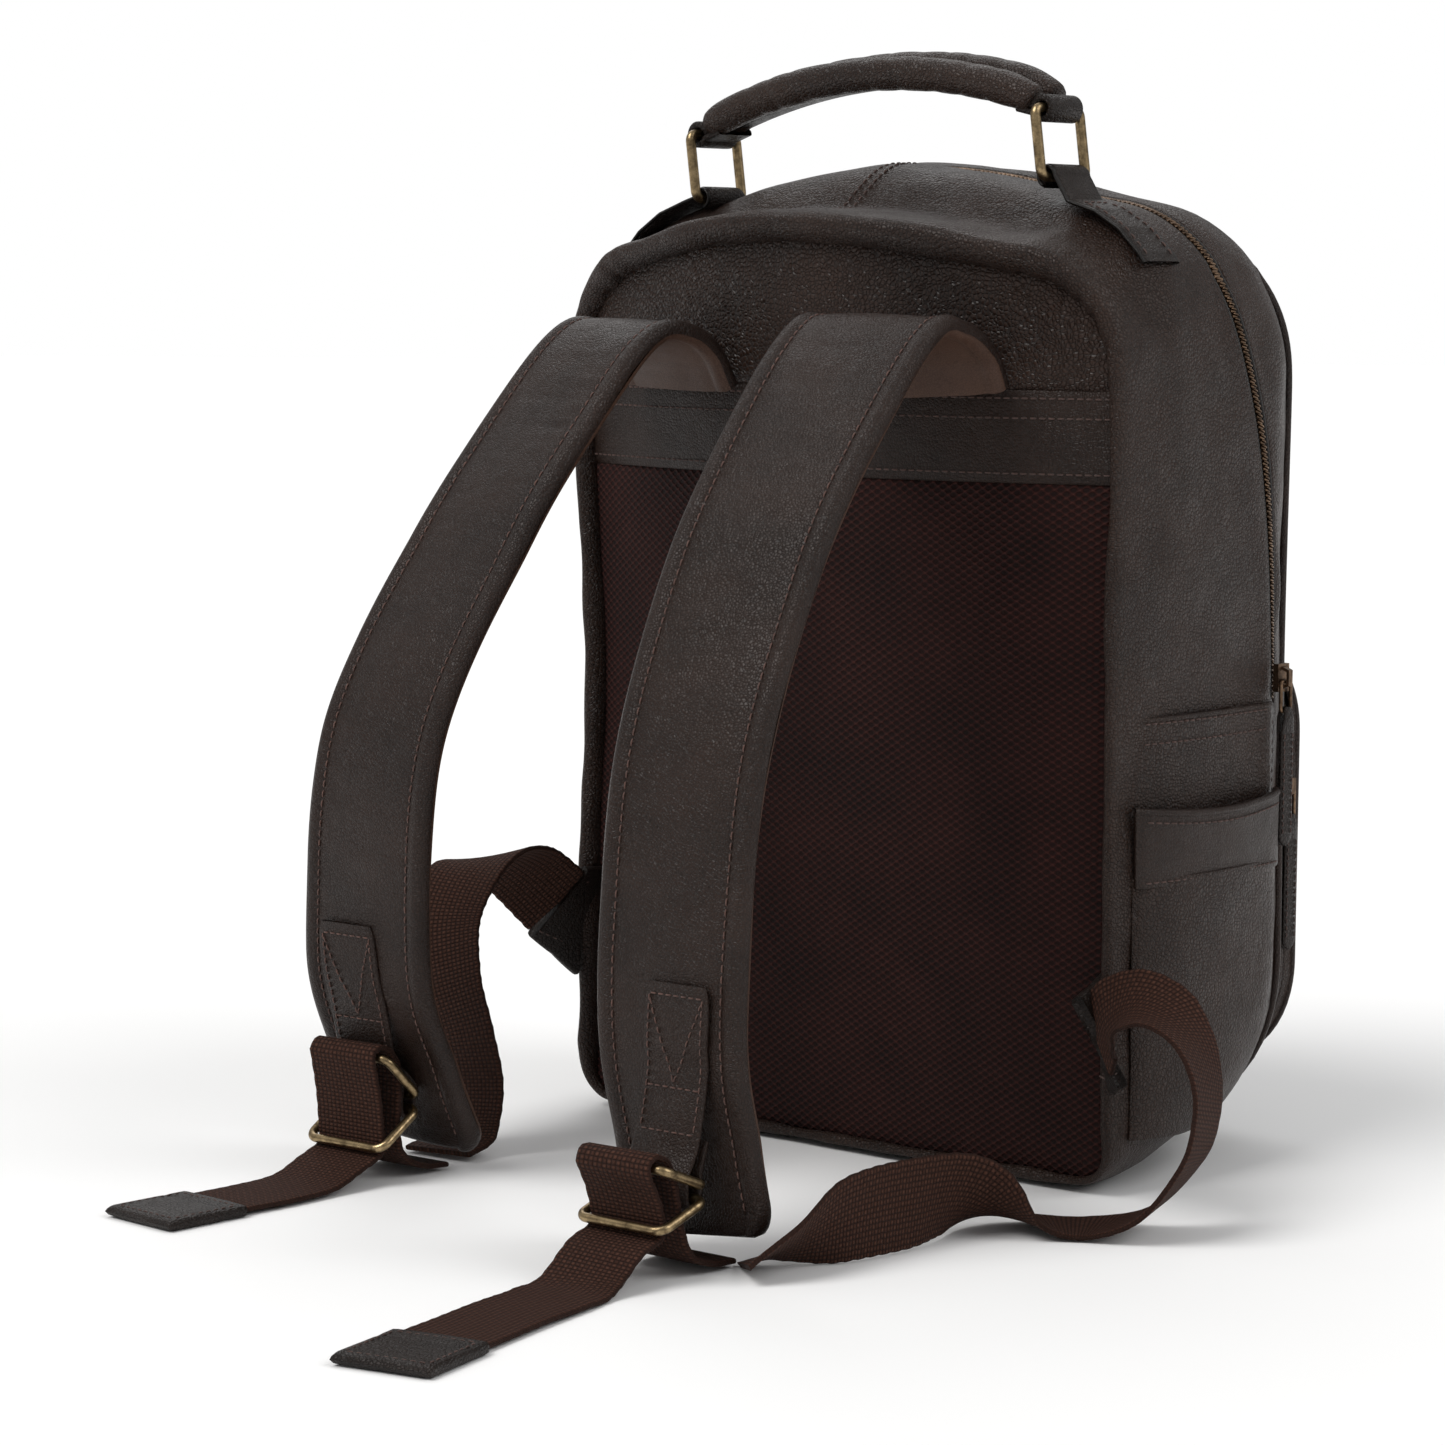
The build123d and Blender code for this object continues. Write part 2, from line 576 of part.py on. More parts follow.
# cinch: pivot place, then the directions of the upper and lower ring's legs (outwards, up)
CINCH = {
    "right": ((96.0, -284.0, 33.0), (-0.93, 0.37), (-0.95, -0.30)),
    "left": ((-108.0, -234.0, 33.0), (-0.72, 0.69), (-0.85, -0.53)),
}
CINCH_WIRE = 3.8
BAR_APART = 2.9           # half the distance between the two ring bars in the tab

WEBBING_ROUTES = {
    "right": [
        ((150, -84, 74), (0.25, -0.50, 0.82)), ((162, -89, 88), (0.30, -0.60, 0.74)),
        ((178, -93, 93), (0.45, -0.62, 0.64)), ((196, -95, 87), (0.60, -0.66, 0.45)),
        ((210, -97, 71), (0.68, -0.70, 0.20)), ((217, -100, 49), (0.70, -0.71, 0.05)),
        ((213, -105, 25), (0.68, -0.73, 0.05)), ((198, -112, 7), (0.62, -0.78, 0.03)),
        ((178, -123, 2.2), (0.52, -0.85, 0.0)), ((160, -140, 5.6), (0.62, -0.74, 0.20)),
        ((150, -166, 18.2), (0.40, -0.15, 0.90)), ((148, -198, 19.5), (0.10, 0.0, 0.99)),
        ((144, -232, 18.5), (0.25, 0.0, 0.96)), ((136, -257, 12), (0.75, -0.30, 0.58)),
        ((126, -271, 4), (0.50, -0.86, 0.05)),
    ],
    "left": [
        ((-150, -86, 94), (0.50, 0.45, 0.62)), ((-148, -108, 112), (0.75, 0.35, 0.50)),
        ((-142, -130, 121), (0.90, 0.25, 0.25)), ((-139, -152, 117), (0.95, 0.25, 0.0)),
        ((-136, -168, 98), (0.96, 0.20, 0.0)), ((-128, -174, 74), (0.98, 0.10, 0.1)),
        ((-120, -172, 50), (0.98, 0.0, 0.18)), ((-116, -170, 26), (0.97, 0.0, 0.22)),
        ((-114, -176, 8), (0.98, -0.1, 0.05)), ((-112, -196, 3), (0.99, 0.0, 0.0)),
    ],
}
TAB_ROOTS = {
    "right": ((141.0, -74.5, 68.0), (0.0, 0.0, 1.0), Vector(0.5, -0.85, 0)),
    "left": ((-144.0, -74.5, 82.0), (0.0, 0.0, 1.0), Vector(-0.3, -0.95, 0)),
}
TIP_LONG = 40.0
TIP_THICK = 4.8


def rounded_turn(centre, radius, start, stop, steps):
    """Points of a bend round a bar, in the cinch's side view."""
    turn = []
    for step in range(steps + 1):
        angle = radians(start + (stop - start) * step / steps)
        turn.append((centre[0] + radius * cos(angle), centre[1] + radius * sin(angle)))
    return turn


def tail_route(place, upper_leg, lower_leg, outwards, floor_run):
    """Webbing's way from under the strap through the cinch and out along the floor."""
    upper = (-CINCH_LEG * upper_leg[0], CINCH_LEG * upper_leg[1] + BAR_APART)
    lower = (-CINCH_LEG * lower_leg[0], CINCH_LEG * lower_leg[1] - BAR_APART)
    ground = 2.4 - place[2]
    gap_side = (upper[0] + lower[0]) / 2 - 1.0
    view = [(-22, ground), (-10, ground + 1), (2, ground + 6), (8, ground + 16)]
    view += [(upper[0] - 11, upper[1] - 8), (upper[0] - 7, upper[1] + 1)]
    view += rounded_turn(upper, 4.6, 125, -30, 4)
    view += [(gap_side, (upper[1] + lower[1]) / 2)]
    view += rounded_turn(lower, 4.6, 165, 262, 3)
    view += [(lower[0] + 9, max(lower[1] - 8, ground + 2.5)), (lower[0] + 24, ground + 0.8)]
    across = (outwards.Y, -outwards.X, 0)
    route = []
    for out, up in view:
        spot = Vector(*place) - outwards * out + Vector(0, 0, up)
        route.append(((spot.X, spot.Y, spot.Z), across))
    return route + floor_run


FLOOR_RUNS = {
    "right": [
        ((101, -352, 2.4), (0.99, -0.12, 0)), ((106, -380, 2.4), (0.97, -0.22, 0)),
        ((112, -408, 2.4), (0.97, -0.22, 0)), ((119, -438, 2.4), (0.97, -0.22, 0)),
    ],
    "left": [
        ((-106, -303, 2.4), (1, 0.02, 0)), ((-107, -322, 2.4), (1, 0.02, 0)),
        ((-108, -343, 2.4), (1, 0.02, 0)),
    ],
}

for side, word in ((1, "right"), (-1, "left")):
    stations = strap_stations(STRAP_ROUTES[word], *STRAP_YAW[word], 22)
    leather = ribbon(stations, STRAP_WIDTH, -STRAP_LEATHER, 0.0)
    lining_top = -STRAP_THICK + 1.4
    foam = ribbon(stations[1:-1], STRAP_WIDTH - 4, lining_top + 0.3, -STRAP_LEATHER - 0.3)
    save(foam, f"strap_{word}_foam")
    save(ribbon(stations, STRAP_WIDTH - 1, -STRAP_THICK, lining_top), f"strap_{word}_lining")
    yaw = radians(STRAP_YAW[word][1])
    place, upper_leg, lower_leg = CINCH[word]
    across = (cos(yaw), sin(yaw), 0)
    outwards = Vector(-sin(yaw), cos(yaw), 0)
    bore = CINCH_WIRE / 2 + BORE_PLAY
    for level, leg, lift in (("upper", upper_leg, BAR_APART), ("lower", lower_leg, -BAR_APART)):
        bar = (place[0], place[1], place[2] + lift)
        along = outwards * leg[0] + Vector(0, 0, leg[1])
        normal = Vector(*across).cross(along)
        ring_plane = Plane(origin=bar, x_dir=across, z_dir=normal.normalized())
        ring = wire_ring(ring_plane, CINCH_WIDTH, CINCH_LEG, CINCH_WIRE, 4.5)
        save(ring, f"cinch_ring_{level}_{word}")
    side_plane = Plane(origin=place, x_dir=-outwards, z_dir=Vector(0, 0, 1).cross(outwards))
    face_line = []
    for spot, _, _ in stations:
        if place[2] - 8 < spot[2] < place[2] + 84:
            out = -(Vector(*spot) - Vector(*place)).dot(outwards)
            face_line.append((out, spot[2] - place[2]))
    with BuildPart() as tab:
        with BuildSketch(side_plane):
            with Locations((0, BAR_APART), (0, -BAR_APART)):
                Circle(bore + 1.5)
            with BuildLine():
                Polyline(
                    *[(out + 0.7, up) for out, up in face_line],
                    (-1, -BAR_APART - 3.0), (3.2, 0), (2.2, 9.0),
                    (face_line[0][0] + 2.4, face_line[0][1]),
                    close=True,
                )
            make_face()
            with Locations((0, BAR_APART), (0, -BAR_APART)):
                Circle(bore, mode=Mode.SUBTRACT)
        extrude(amount=16.0, both=True)
    save(tab.part, f"strap_{word}_tab")
    save(leather, f"strap_{word}_leather")
    route = with_course(WEBBING_ROUTES[word])
    webbing = ribbon(route[1:], WEBBING, -WEBBING_THICK / 2, WEBBING_THICK / 2)
    save(webbing, f"webbing_{word}_lower")
    joint_place, joint_across, joint_course = route[1]
    tab_end = Vector(*joint_place) - joint_course * 0.4
    tab_line = [TAB_ROOTS[word], route[0], (tab_end, joint_across, joint_course)]
    save(ribbon(tab_line, [58.0, 44.0, 40.0], -2.8, 2.8), f"corner_tab_{word}")
    tail = with_course(tail_route(place, upper_leg, lower_leg, outwards, FLOOR_RUNS[word]))
    save(ribbon(tail, WEBBING, -WEBBING_THICK / 2, WEBBING_THICK / 2), f"webbing_{word}_tail")
    end, end_across, course = tail[-1]
    tip_start = Vector(*end) - course * (TIP_LONG - 26)
    tip_plane = Plane(origin=(tip_start.X, tip_start.Y, 0.1), x_dir=end_across, z_dir=(0, 0, 1))
    with BuildPart() as tip:
        with BuildSketch(tip_plane):
            with Locations((0, -TIP_LONG / 2)):
                RectangleRounded(WEBBING + 4, TIP_LONG, 2.0)
        extrude(amount=TIP_THICK)
        half = WEBBING_THICK / 2 + GAP
        add(ribbon(tail[-3:], WEBBING + 0.6, -half, half), mode=Mode.SUBTRACT)
    save(tip.part, f"webbing_{word}_tip")
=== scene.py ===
from math import cos, pi, radians, sin, sqrt

import bpy
import numpy as np
from mathutils import Matrix, Vector, noise


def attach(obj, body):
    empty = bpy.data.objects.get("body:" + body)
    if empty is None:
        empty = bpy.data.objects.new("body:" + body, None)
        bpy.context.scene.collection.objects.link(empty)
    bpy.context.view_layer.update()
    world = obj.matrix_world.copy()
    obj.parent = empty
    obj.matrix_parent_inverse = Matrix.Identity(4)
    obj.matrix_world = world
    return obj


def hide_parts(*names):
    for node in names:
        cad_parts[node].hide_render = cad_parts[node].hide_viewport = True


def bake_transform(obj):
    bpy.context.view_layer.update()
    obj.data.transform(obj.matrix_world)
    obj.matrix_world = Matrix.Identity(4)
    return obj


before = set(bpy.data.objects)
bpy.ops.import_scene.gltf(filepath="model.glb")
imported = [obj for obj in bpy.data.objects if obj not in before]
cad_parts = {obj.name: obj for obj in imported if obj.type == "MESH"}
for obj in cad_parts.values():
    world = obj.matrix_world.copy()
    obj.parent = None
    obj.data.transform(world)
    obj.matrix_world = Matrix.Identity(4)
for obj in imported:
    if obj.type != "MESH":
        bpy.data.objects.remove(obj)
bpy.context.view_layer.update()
MM = 0.001
HAND = {-1: "left", 1: "right"}
DEPTH = {-1: "rear", 1: "front"}
LEVEL = {-1: "low", 1: "high"}

# ------------------------------------------------------------------ materials


class Nodes:
    """Small helper that builds one material's node tree."""

    def __init__(self, name):
        self.material = bpy.data.materials.new(name)
        self.material.use_nodes = True
        self.tree = self.material.node_tree
        self.shader = self.tree.nodes["Principled BSDF"]

    def add(self, kind, inputs=None, **settings):
        node = self.tree.nodes.new(kind)
        for key, value in settings.items():
            setattr(node, key, value)
        for key, value in (inputs or {}).items():
            if isinstance(value, bpy.types.NodeSocket):
                self.tree.links.new(value, node.inputs[key])
            else:
                node.inputs[key].default_value = value
        return node

    def math(self, operation, first, second=0.0, clamp=False):
        node = self.add("ShaderNodeMath", {0: first, 1: second}, operation=operation)
        node.use_clamp = clamp
        return node.outputs[0]

    def coordinate(self, kind="Object"):
        return self.add("ShaderNodeTexCoord").outputs[kind]

    def noise(self, vector, scale, detail=3.0, roughness=0.55):
        values = {"Vector": vector, "Scale": scale, "Detail": detail, "Roughness": roughness}
        return self.add("ShaderNodeTexNoise", values).outputs["Fac"]

    def ramp(self, value, stops):
        node = self.add("ShaderNodeValToRGB", {"Fac": value})
        elements = node.color_ramp.elements
        while len(elements) < len(stops):
            elements.new(0.5)
        for element, (place, colour) in zip(elements, stops):
            element.position = place
            if not hasattr(colour, "__len__"):
                colour = (colour, colour, colour)
            element.color = (*colour, 1.0)
        return node.outputs["Color"]

    def bump(self, height, distance, strength=1.0, before=None):
        values = {"Height": height, "Distance": distance, "Strength": strength}
        if before is not None:
            values["Normal"] = before
        return self.add("ShaderNodeBump", values).outputs["Normal"]

    def finish(self, **sockets):
        for key, value in sockets.items():
            key = key.replace("_", " ")
            if isinstance(value, bpy.types.NodeSocket):
                self.tree.links.new(value, self.shader.inputs[key])
            else:
                self.shader.inputs[key].default_value = value
        return self.material


def leather_material(name, dark, light, pebble=560.0, depth=0.00028, rough=(0.40, 0.58), wrinkle=0.0004):
    """Pebbled cowhide: rounded grains with creases between them, uneven dye, painted shade in the creases,
    and uneven shine.
    """
    n = Nodes(name)
    place = n.coordinate()
    warp = n.add("ShaderNodeTexNoise", {"Vector": place, "Scale": 90.0, "Detail": 2.0})
    shifted = n.add("ShaderNodeVectorMath", {0: warp.outputs["Color"], 1: (0.004, 0.004, 0.004)},
        operation="MULTIPLY")
    bent = n.add("ShaderNodeVectorMath", {0: place, 1: shifted.outputs[0]}, operation="ADD").outputs[0]
    grain = n.add("ShaderNodeTexVoronoi", {"Vector": bent, "Scale": pebble, "Randomness": 0.9},
        feature="SMOOTH_F1")
    edge = n.add("ShaderNodeTexVoronoi", {"Vector": bent, "Scale": pebble, "Randomness": 0.9},
        feature="DISTANCE_TO_EDGE")
    crease = n.ramp(edge.outputs["Distance"], [(0.0, 0.0), (0.16, 1.0)])
    dome = n.math("SUBTRACT", 1.0, grain.outputs["Distance"])
    height = n.math("ADD", n.math("MULTIPLY", dome, 0.7), n.math("MULTIPLY", crease, 0.5))
    broad = n.noise(place, 26.0, 4.0)
    fine = n.noise(place, 1500.0, 2.0)
    normal = n.bump(n.noise(place, 120.0, 5.0, 0.6), wrinkle)
    normal = n.bump(height, depth, 1.0, normal)
    normal = n.bump(fine, 0.00005, 1.0, normal)
    # painted shade: the crease term darkens the creases between grains; the broad noise is uneven dye
    tone_and_painted_shade = n.math("ADD", n.math("MULTIPLY", broad, 0.65), n.math("MULTIPLY", crease, 0.30))
    colour = n.ramp(tone_and_painted_shade, [(0.28, dark), (0.72, light)])
    shine = n.ramp(n.noise(place, 60.0, 5.0), [(0.3, rough[0]), (0.75, rough[1])])
    return n.finish(Base_Color=colour, Roughness=shine, Normal=normal, Specular_IOR_Level=0.25)


def mesh_material(name):
    """Spacer mesh: rows of small oval cells, set half a cell apart row by row."""
    n = Nodes(name)
    uv = n.coordinate("UV")
    turned = n.add("ShaderNodeVectorRotate",
        {"Vector": n.add("ShaderNodeMapping",
        {"Vector": uv, "Scale": (1 / 0.0052, 1 / 0.0033, 1.0)}).outputs[0], "Angle": pi / 4},
        rotation_type="Z_AXIS").outputs[0]
    values = {"Vector": turned, "Scale": sqrt(2.0), "Randomness": 0.0}
    cell = n.add("ShaderNodeTexVoronoi", values, voronoi_dimensions="2D", feature="F1").outputs["Distance"]
    rib = n.ramp(cell, [(0.26, 0.0), (0.62, 1.0)])
    thread = n.noise(uv, 2600.0, 2.0)
    broad = n.noise(n.coordinate(), 30.0, 3.0)
    height = n.math("ADD", rib, n.math("MULTIPLY", thread, 0.25))
    # painted shade: the cell hollows are darker and the ribs between them lighter, following the mesh
    # height; the broad noise is uneven dye
    tone_and_painted_shade = n.math("ADD", n.math("MULTIPLY", rib, 0.62), n.math("MULTIPLY", broad, 0.42))
    colour = n.ramp(tone_and_painted_shade, [(0.12, (0.0045, 0.0012, 0.0010)), (0.55, (0.0270, 0.0070, 0.0055)),
        (0.95, (0.0620, 0.0190, 0.0150))])
    return n.finish(Base_Color=colour, Roughness=0.78, Normal=n.bump(height, 0.0011),
        Specular_IOR_Level=0.18)


def webbing_material(name):
    """Coarse basket weave: fat yarns that pass over and under each other."""
    n = Nodes(name)
    uv = n.coordinate("UV")
    parts = n.add("ShaderNodeSeparateXYZ", {"Vector": uv})
    across = n.math("SINE", n.math("MULTIPLY", parts.outputs[0], 2 * pi / 0.0046))
    along = n.math("SINE", n.math("MULTIPLY", parts.outputs[1], 2 * pi / 0.0034))
    cross = n.math("MULTIPLY", across, along)
    knot = n.math("ABSOLUTE", cross)
    twist = n.math("SINE", n.math("MULTIPLY", n.math("ADD", parts.outputs[0], parts.outputs[1]),
        2 * pi / 0.0009))
    height = n.math("ADD", n.math("POWER", knot, 0.5), n.math("MULTIPLY", twist, 0.08))
    fluff = n.noise(n.coordinate(), 900.0, 3.0)
    side = n.math("MULTIPLY", n.math("ADD", cross, 1.0), 0.5)
    # painted shade: the gaps between yarns are darker and the yarn tops lighter, following the weave
    # height; side makes alternate crossings a little lighter, and fluff is uneven yarn colour
    tone_and_painted_shade = n.math("ADD", n.math("MULTIPLY", n.math("POWER", knot, 0.6), 0.45),
        n.math("ADD", n.math("MULTIPLY", side, 0.16), n.math("MULTIPLY", fluff, 0.40)))
    colour = n.ramp(tone_and_painted_shade, [(0.15, (0.0080, 0.0030, 0.0019)), (0.55, (0.0400, 0.0155, 0.0095)),
        (0.95, (0.1050, 0.0450, 0.0290))])
    return n.finish(Base_Color=colour, Roughness=0.82, Normal=n.bump(height, 0.0009),
        Specular_IOR_Level=0.18)


def metal_material(name, dark, light, rough=(0.24, 0.42)):
    """Antiqued plating: warm metal with darker, rougher patches and fine scratches."""
    n = Nodes(name)
    place = n.coordinate()
    patch = n.noise(place, 240.0, 5.0, 0.65)
    colour = n.ramp(patch, [(0.32, dark), (0.62, light)])
    shine = n.ramp(patch, [(0.3, rough[1]), (0.7, rough[0])])
    normal = n.bump(n.noise(place, 900.0, 4.0), 0.00005)
    return n.finish(Base_Color=colour, Roughness=shine, Metallic=1.0, Normal=normal)


def cloth_material(name, dark, light, yarn=0.0008):
    """Fine plain weave for tapes, linings and thread."""
    n = Nodes(name)
    place = n.coordinate()
    parts = n.add("ShaderNodeSeparateXYZ", {"Vector": place})
    first = n.math("SINE", n.math("MULTIPLY", n.math("ADD", parts.outputs[0], parts.outputs[1]),
        2 * pi / yarn))
    second = n.math("SINE", n.math("MULTIPLY", parts.outputs[2], 2 * pi / yarn))
    height = n.math("MULTIPLY", first, second)
    colour = n.ramp(n.noise(place, 300.0, 4.0), [(0.3, dark), (0.75, light)])
    return n.finish(Base_Color=colour, Roughness=0.8, Normal=n.bump(height, 0.0002), Sheen_Weight=0.15)


LEATHER = leather_material("pebbled_leather", (0.0100, 0.0050, 0.0034), (0.0310, 0.0165, 0.0115), 620.0,
    0.00060, (0.32, 0.48), 0.0010)
YOKE = leather_material("yoke_leather", (0.0100, 0.0050, 0.0034), (0.0320, 0.0170, 0.0120), 520.0, 0.00075,
    (0.28, 0.42), 0.0010)
SMOOTH = leather_material("smooth_leather", (0.0090, 0.0046, 0.0031), (0.0260, 0.0140, 0.0100), 760.0,
    0.00030, (0.32, 0.46), 0.0008)
ROLLED = leather_material("roll_leather", (0.0115, 0.0060, 0.0041), (0.0340, 0.0190, 0.0135), 640.0,
    0.00050, (0.28, 0.44), 0.0012)
EDGE = leather_material("painted_edge", (0.004, 0.003, 0.0025), (0.008, 0.006, 0.005), 900.0, 0.00010,
    (0.30, 0.42))
TAB = leather_material("tab_leather", (0.0060, 0.0036, 0.0027), (0.0170, 0.0105, 0.0080), 620.0, 0.00045,
    (0.36, 0.52))
STRAP_LINING = leather_material("strap_lining_leather", (0.040, 0.0190, 0.0120), (0.085, 0.045, 0.030),
    900.0, 0.00010, (0.45, 0.6))
AIR_MESH = mesh_material("air_mesh")
WEBBING = webbing_material("cotton_webbing")
BRASS = metal_material("antique_brass", (0.10, 0.070, 0.038), (0.42, 0.31, 0.17))
TEETH = metal_material("bronze_teeth", (0.045, 0.028, 0.018), (0.21, 0.135, 0.085), (0.30, 0.50))
TAPE = cloth_material("zipper_tape_weave", (0.006, 0.0040, 0.0034), (0.016, 0.011, 0.009))
THREAD = cloth_material("thread", (0.110, 0.044, 0.030), (0.220, 0.098, 0.068), 0.0004)
DARK_THREAD = cloth_material("dark_thread", (0.070, 0.028, 0.019), (0.150, 0.066, 0.046), 0.0004)
LINING = cloth_material("lining_weave", (0.070, 0.052, 0.040), (0.130, 0.100, 0.078))
BOARD = cloth_material("board_face", (0.020, 0.020, 0.020), (0.040, 0.040, 0.040))

# ------------------------------------------------------------------ mesh tools


def unit(vectors):
    """Vectors along the last axis, brought to length one."""
    return vectors / np.linalg.norm(vectors, axis=-1, keepdims=True)


def spline(p0, p1, p2, p3, t):
    """Point at a share t between p1 and p2 on a smooth curve through four points."""
    return 0.5 * (2 * p1 + (p2 - p0) * t + (2 * p0 - 5 * p1 + 4 * p2 - p3) * t * t
        + (3 * p1 - p0 - 3 * p2 + p3) * t ** 3)


def wobble(points, size, amount, seed=0.0):
    """Smooth noise values for points, in the range of plus or minus amount."""
    flat = points.reshape(-1, 3)
    shift = Vector((seed * 1.7, seed * 2.3, -seed))
    values = [noise.noise(Vector(p) * (1.0 / size) + shift) for p in flat]
    return np.array(values).reshape(points.shape[:-1]) * amount


def grid_normals(grid, closed_u=False):
    """Unit normals of a grid of points, from its two directions."""
    if closed_u:
        du = np.roll(grid, -1, 0) - np.roll(grid, 1, 0)
    else:
        du = np.gradient(grid, axis=0)
    dv = np.gradient(grid, axis=1)
    normals = np.cross(du, dv)
    return normals / np.maximum(np.linalg.norm(normals, axis=2, keepdims=True), 1e-12)


def grid_object(name, grid, material, closed_u=False, closed_v=False, uv=None, flip=False, caps=False):
    """Mesh object from a grid of points."""
    nu, nv = grid.shape[:2]
    index = np.arange(nu * nv).reshape(nu, nv)
    if closed_u:
        index = np.vstack([index, index[:1]])
    if closed_v:
        index = np.hstack([index, index[:, :1]])
    a, b = index[:-1, :-1].ravel(), index[1:, :-1].ravel()
    c, d = index[1:, 1:].ravel(), index[:-1, 1:].ravel()
    faces = np.stack([a, d, c, b] if flip else [a, b, c, d], 1)
    mesh = bpy.data.meshes.new(name)
    faces = faces.tolist()
    if caps:
        faces += [index[0, :nv].tolist()[::1 if flip else -1], index[-1, :nv].tolist()[::-1 if flip else 1]]
    mesh.from_pydata(grid.reshape(-1, 3).tolist(), [], faces)
    if uv is not None:
        layer = mesh.uv_layers.new(name="UVMap")
        corner = np.zeros(len(mesh.loops), np.int64)
        mesh.loops.foreach_get("vertex_index", corner)
        layer.data.foreach_set("uv", uv.reshape(-1, 2)[corner].astype(np.float32).ravel())
    mesh.polygons.foreach_set("use_smooth", [True] * len(mesh.polygons))
    mesh.update()
    piece = bpy.data.objects.new(name, mesh)
    bpy.context.scene.collection.objects.link(piece)
    mesh.materials.append(material)
    return piece


def raw_object(name, verts, faces, material):
    mesh = bpy.data.meshes.new(name)
    mesh.from_pydata([tuple(v) for v in verts], [], [tuple(f) for f in faces])
    mesh.polygons.foreach_set("use_smooth", [True] * len(mesh.polygons))
    mesh.update()
    piece = bpy.data.objects.new(name, mesh)
    bpy.context.scene.collection.objects.link(piece)
    mesh.materials.append(material)
    return piece


def thicken(piece, thickness, offset=-1.0):
    """Gives a sheet its thickness, as real vertices."""
    modifier = piece.modifiers.new("thickness", "SOLIDIFY")
    modifier.thickness = thickness
    modifier.offset = offset
    modifier.use_even_offset = False
    bake(piece)
    return piece


def bake(piece):
    """Applies a piece's modifiers to its mesh."""
    bpy.context.view_layer.update()
    graph = bpy.context.evaluated_depsgraph_get()
    made = bpy.data.meshes.new_from_object(piece.evaluated_get(graph), depsgraph=graph)
    piece.modifiers.clear()
    old = piece.data
    piece.data = made
    bpy.data.meshes.remove(old)


def place(piece, body, slot, nodes=()):
    """A piece rides on a body and may stand for CAD nodes, which it hides; its slot argument is not used.
    """
    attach(piece, body)
    if nodes:
        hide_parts(*nodes)
    return piece


def paint(nodes, material):
    """Gives CAD nodes that stay in sight a material."""
    for node in nodes:
        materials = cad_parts[node].data.materials
        materials.clear()
        materials.append(material)


def with_ends(grid):
    """A tube's grid, closed by its ends' middles."""
    ends = [np.repeat(row.mean(0)[None], grid.shape[1], 0) for row in (grid[0], grid[-1])]
    return np.stack([ends[0], *grid, ends[1]], 0)


def curve_through(points, count):
    """Evenly spaced points on a smooth curve through control points."""
    points = np.asarray(points, float)
    ends = np.vstack([2 * points[0] - points[1], points, 2 * points[-1] - points[-2]])
    dense = []
    for k in range(len(points) - 1):
        p0, p1, p2, p3 = ends[k], ends[k + 1], ends[k + 2], ends[k + 3]
        for t in np.linspace(0, 1, 24, endpoint=False):
            dense.append(spline(p0, p1, p2, p3, t))
    dense.append(points[-1])
    return even(np.array(dense), count)


def even(points, count):
    """The same path with points evenly spaced by the length of its first three columns."""
    step = np.linalg.norm(np.diff(points[:, :3], axis=0), axis=1)
    travel = np.concatenate([[0], np.cumsum(step)])
    where = np.linspace(0, travel[-1], count)
    return np.stack([np.interp(where, travel, points[:, k]) for k in range(points.shape[1])], 1)


def path_length(points):
    return float(np.linalg.norm(np.diff(points[:, :3], axis=0), axis=1).sum())


STITCH_RING = 6
# pitch, length and thread radius of the smaller stitches
TAB_STITCH = (0.0036, 0.0027, 0.00030)
CORNER_STITCH = (0.0036, 0.0026, 0.0003)
TIP_STITCH = (0.0036, 0.0026, 0.00028)
PULL_STITCH = (0.0030, 0.0022, 0.00026)


def stitches(name, path, normals, body, pitch=0.0040, length=0.0030, radius=0.00034, lift=0.0,
        material=None):
    """Row of single stitches along a path on a surface with these normals."""
    both = np.hstack([path, normals])
    count = max(2, int(path_length(path) / pitch))
    both = even(both, count * 2 + 1)
    verts, faces = [], []
    rings = [(-0.5, 0.35, -0.9), (-0.40, 0.9, -0.2), (-0.15, 1.0, 0.35), (0.15, 1.0, 0.35),
        (0.40, 0.9, -0.2), (0.5, 0.35, -0.9)]
    for k in range(1, len(both) - 1, 2):
        centre, normal = both[k, :3], both[k, 3:6]
        along = both[k + 1, :3] - both[k - 1, :3]
        along /= max(np.linalg.norm(along), 1e-9)
        normal = normal - along * (normal @ along)
        normal /= max(np.linalg.norm(normal), 1e-9)
        side = np.cross(along, normal)
        base = len(verts)
        for share, wide, rise in rings:
            spot = centre + along * share * length + normal * (rise * radius + lift)
            for q in range(STITCH_RING):
                angle = 2 * pi * q / STITCH_RING
                verts.append(spot + (side * cos(angle) * 1.15 + normal * sin(angle)) * radius * wide)
        for r in range(len(rings) - 1):
            for q in range(STITCH_RING):
                a, b = base + r * STITCH_RING + q, base + r * STITCH_RING + (q + 1) % STITCH_RING
                faces.append((a, b, b + STITCH_RING, a + STITCH_RING))
        faces.append([base + q for q in range(STITCH_RING)][::-1])
        last = base + (len(rings) - 1) * STITCH_RING
        faces.append([last + q for q in range(STITCH_RING)])
    piece = raw_object(name, verts, faces, material or THREAD)
    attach(piece, body)
    return piece


